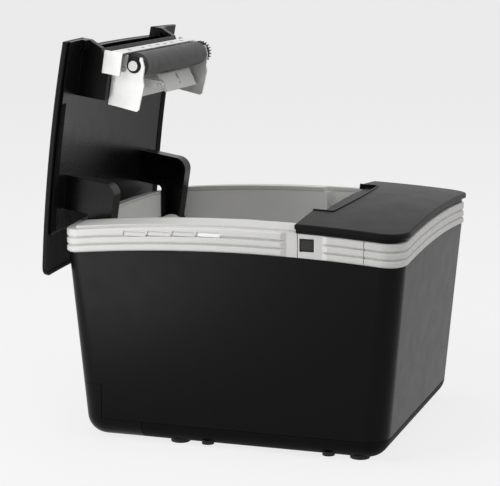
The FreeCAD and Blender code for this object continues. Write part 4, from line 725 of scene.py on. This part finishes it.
@dataclass
class RollerUnit:
    """Roller, its bracket, blade strip and flap under the lid's front edge."""

    wardrobe: Wardrobe
    hinge: Hinge = Hinge()
    shade_sheet_half: float = 41.0 * MM
    shade_sheet_y: tuple[float, float] = (-34.7 * MM, -34.5 * MM)
    shade_sheet_z: tuple[float, float] = (90.8 * MM, 94.4 * MM)

    def shade_sheet(self) -> None:
        """Set a dark strip of painted shade behind the holes of the blade strip."""
        (front, rear), (low, high) = self.shade_sheet_y, self.shade_sheet_z
        section = [(front, low), (rear, low), (rear, high), (front, high)]
        ends = (-self.shade_sheet_half, self.shade_sheet_half)
        verts = [self.hinge.opened(Vector((x, y, z))) for x in ends for y, z in section]
        self.wardrobe.bar("strip_shade_sheet", verts, "lid", "lid_black", Finish.SHADE_AND_LIP_BLACK)

    def build(self) -> None:
        """Dress the roller unit and set the strip of painted shade behind its blade strip."""
        self.shade_sheet()
        self.wardrobe.dress_all({
            "platen_bracket": Finish.ZINC_STEEL,
            "counter_blade": Finish.BLADE_STEEL,
            "bracket_screws": Finish.SCREW_STEEL,
            "platen_shaft": Finish.GROUND_STEEL,
            "platen_rubber": Finish.ROLLER_RUBBER,
            "platen_gear": Finish.GEAR_BLACK,
            "platen_bushes": Finish.GEAR_BLACK,
            "paper_flap": Finish.FLAP_PALE,
            "flap_pin": Finish.GROUND_STEEL,
        })


@dataclass
class PrintMechanism:
    """Chassis, print head, cutter, motors and gears inside the body."""

    wardrobe: Wardrobe

    def build(self) -> None:
        """Dress the mechanism."""
        self.wardrobe.dress_all({
            "chassis": Finish.ZINC_STEEL,
            "print_head": Finish.HEAD_CERAMIC,
            "head_heat_sink": Finish.HEAT_SINK,
            "head_rod": Finish.GROUND_STEEL,
            "head_springs": Finish.SPRING_STEEL,
            "cutter_bed": Finish.ZINC_STEEL,
            "cutter_blade": Finish.BLADE_STEEL,
            "cutter_pinion": Finish.PINION_BRASS,
            "cutter_motor": Finish.MOTOR_CAN,
            "stepper_motor": Finish.MOTOR_CAN,
            "motor_screws": Finish.SCREW_STEEL,
            "motor_pinion": Finish.PINION_BRASS,
            "idler_gear": Finish.GEAR_BLACK,
            "idler_stud": Finish.GROUND_STEEL,
        })


@dataclass
class Electronics:
    """Main board and the sockets behind the rear cover."""

    wardrobe: Wardrobe

    def build(self) -> None:
        """Dress the board, its screws and its sockets."""
        self.wardrobe.dress("main_board", Finish.BOARD_GREEN)
        self.wardrobe.dress("board_screws", Finish.SCREW_STEEL)
        for node in ("power_socket", "data_socket", "drawer_socket"):
            self.wardrobe.dress(node, Finish.SOCKET_BLACK)


@dataclass
class PaperBucket:
    """Light tub that holds the paper roll."""

    wardrobe: Wardrobe

    def build(self) -> None:
        """Dress the tub."""
        self.wardrobe.dress("paper_bucket", Finish.BUCKET_LIGHT)


@dataclass(frozen=True)
class SoftBox:
    """A rectangular studio lamp that points at the printer."""

    name: str
    place: Place
    size: tuple[float, float]
    power: float
    aim: Place | None = None

    def build(self, middle: Vector) -> None:
        """Hang the lamp.

        Args:
            middle: the printer's middle, which it faces if it has no aim of its own.
        """
        target = Vector(self.aim) if self.aim else middle
        lamp = bpy.data.lights.new(self.name, "AREA")
        lamp.shape = "RECTANGLE"
        lamp.size, lamp.size_y = self.size
        lamp.energy = self.power
        holder = bpy.data.objects.new(self.name, lamp)
        bpy.context.scene.collection.objects.link(holder)
        holder.location = self.place
        holder.rotation_euler = (target - holder.location).to_track_quat("-Z", "Y").to_euler()


@dataclass
class Studio:
    """Pale floor, soft lamps, white surroundings and the camera."""

    eye: Place = (-0.8633, -0.27904, 0.2511)
    yaw_deg: float = 18.28
    pitch_deg: float = 10.17
    focal_px: float = 1835.4
    image_px: int = 500
    sensor_mm: float = 36.0
    clip: tuple[float, float] = (0.01, 100.0)
    floor_half: float = 6.0
    floor_colour: float = 0.6
    floor_white: float = 0.8
    ambient: float = 0.2

    def build(self) -> None:
        """Set the whole studio up."""
        self.camera()
        self.floor()
        self.world()
        target = (CAD_BOX[0] + CAD_BOX[1]) / 2
        for box in self.lamps():
            box.build(target)
        bpy.context.scene.view_settings.view_transform = "Standard"

    def lamps(self) -> list[SoftBox]:
        """List the lamps: two at the rear left, a panel on the left floor, a fill, one overhead, one ahead.

        Returns:
            The lamps, with places and sizes in metres and power in watts.
        """
        return [
            SoftBox("key_lamp", (-0.5, 0.5, 0.6), (0.5, 0.5), 3.0),
            SoftBox("corner_lamp", (-0.36, 0.66, 0.16), (0.24, 0.24), 1.2),
            SoftBox("left_panel", (-0.42, 0.27, 0.002), (0.3, 0.3), 2.4, aim=(-0.42, 0.27, 1.0)),
            SoftBox("fill_lamp", (-0.8, -0.5, 1.0), (1.0, 0.8), 3.4),
            SoftBox("top_lamp", (0.1, 0.15, 1.2), (0.7, 0.7), 4.8),
            SoftBox("front_lamp", (-0.05, -1.1, 0.6), (0.5, 0.5), 3.0),
        ]

    def camera(self) -> None:
        """Stand the camera where the photograph was taken from."""
        yaw, pitch = math.radians(self.yaw_deg), math.radians(self.pitch_deg)
        ahead = Vector((math.cos(pitch) * math.cos(yaw), math.cos(pitch) * math.sin(yaw), -math.sin(pitch)))
        lens = bpy.data.cameras.new("camera")
        lens.sensor_width = self.sensor_mm
        lens.lens = self.focal_px * self.sensor_mm / self.image_px
        lens.clip_start, lens.clip_end = self.clip
        holder = bpy.data.objects.new("camera", lens)
        bpy.context.scene.collection.objects.link(holder)
        holder.location = self.eye
        holder.rotation_euler = ahead.to_track_quat("-Z", "Y").to_euler()
        bpy.context.scene.camera = holder

    def seen(self, tree: bpy.types.NodeTree) -> bpy.types.NodeSocket:
        """Pick the rays that see the surroundings: direct, mirrored and through clear pieces.

        Args:
            tree: the node tree that gets the mask.

        Returns:
            The mask's output, 1 for those rays and 0 for the rays that light the printer.
        """
        path = tree.nodes.new("ShaderNodeLightPath")
        total = path.outputs["Is Camera Ray"]
        for key in ("Is Glossy Ray", "Is Transmission Ray"):
            highest = tree.nodes.new("ShaderNodeMath")
            highest.operation = "MAXIMUM"
            tree.links.new(total, highest.inputs[0])
            tree.links.new(path.outputs[key], highest.inputs[1])
            total = highest.outputs[0]
        return total

    def mixed(self, tree: bpy.types.NodeTree, share: float | bpy.types.NodeSocket,
              first: bpy.types.Node, second: bpy.types.Node) -> bpy.types.Node:
        """Mix two shaders.

        Args:
            tree: the node tree that they are in.
            share: how much of the second one shows, as a number or a mask.
            first: the shader shown at 0.
            second: the shader shown at 1.

        Returns:
            The mixing node.
        """
        mix = tree.nodes.new("ShaderNodeMixShader")
        if isinstance(share, float):
            mix.inputs["Fac"].default_value = share
        else:
            tree.links.new(share, mix.inputs["Fac"])
        for place, shader in enumerate((first, second), 1):
            tree.links.new(shader.outputs[0], mix.inputs[place])
        return mix

    def floor(self) -> None:
        """Lay the pale floor, which shows white and keeps the printer's shadow."""
        half = self.floor_half
        corners = [(-half, -half, 0), (half, -half, 0), (half, half, 0), (-half, half, 0)]
        mesh = bpy.data.meshes.new("floor")
        mesh.from_pydata(corners, [], [(0, 1, 2, 3)])
        holder = bpy.data.objects.new("floor", mesh)
        bpy.context.scene.collection.objects.link(holder)
        material = bpy.data.materials.new("floor_pale")
        material.use_nodes = True
        tree = material.node_tree
        tree.nodes.clear()
        plain = tree.nodes.new("ShaderNodeBsdfDiffuse")
        plain.inputs["Color"].default_value = (self.floor_colour,) * 3 + (1.0,)
        white = tree.nodes.new("ShaderNodeEmission")
        shaded = self.mixed(tree, self.floor_white, plain, white)
        surface = self.mixed(tree, self.seen(tree), plain, shaded)
        output = tree.nodes.new("ShaderNodeOutputMaterial")
        tree.links.new(surface.outputs[0], output.inputs["Surface"])
        mesh.materials.append(material)

    def world(self) -> None:
        """Surround the scene with white that lights it only weakly."""
        world = bpy.data.worlds.new("studio")
        bpy.context.scene.world = world
        world.use_nodes = True
        tree = world.node_tree
        tree.nodes.clear()
        lit = tree.nodes.new("ShaderNodeBackground")
        lit.inputs["Strength"].default_value = self.ambient
        shown = tree.nodes.new("ShaderNodeBackground")
        for background in (lit, shown):
            background.inputs["Color"].default_value = (1.0, 1.0, 1.0, 1.0)
        surface = self.mixed(tree, self.seen(tree), lit, shown)
        output = tree.nodes.new("ShaderNodeOutputWorld")
        tree.links.new(surface.outputs[0], output.inputs["Surface"])


def main() -> None:
    """Build every part of the printer and the studio round it."""
    logging.basicConfig(level=logging.INFO, format="%(message)s")
    wardrobe = Wardrobe()
    Studio().build()
    parts = (Casing, TrimBand, PaperBucket, RecessLips, PlateauInfill, Lid, RollerUnit, PrintMechanism,
             Electronics)
    for part in parts:
        part(wardrobe).build()


if __name__ == "__main__":
    main()
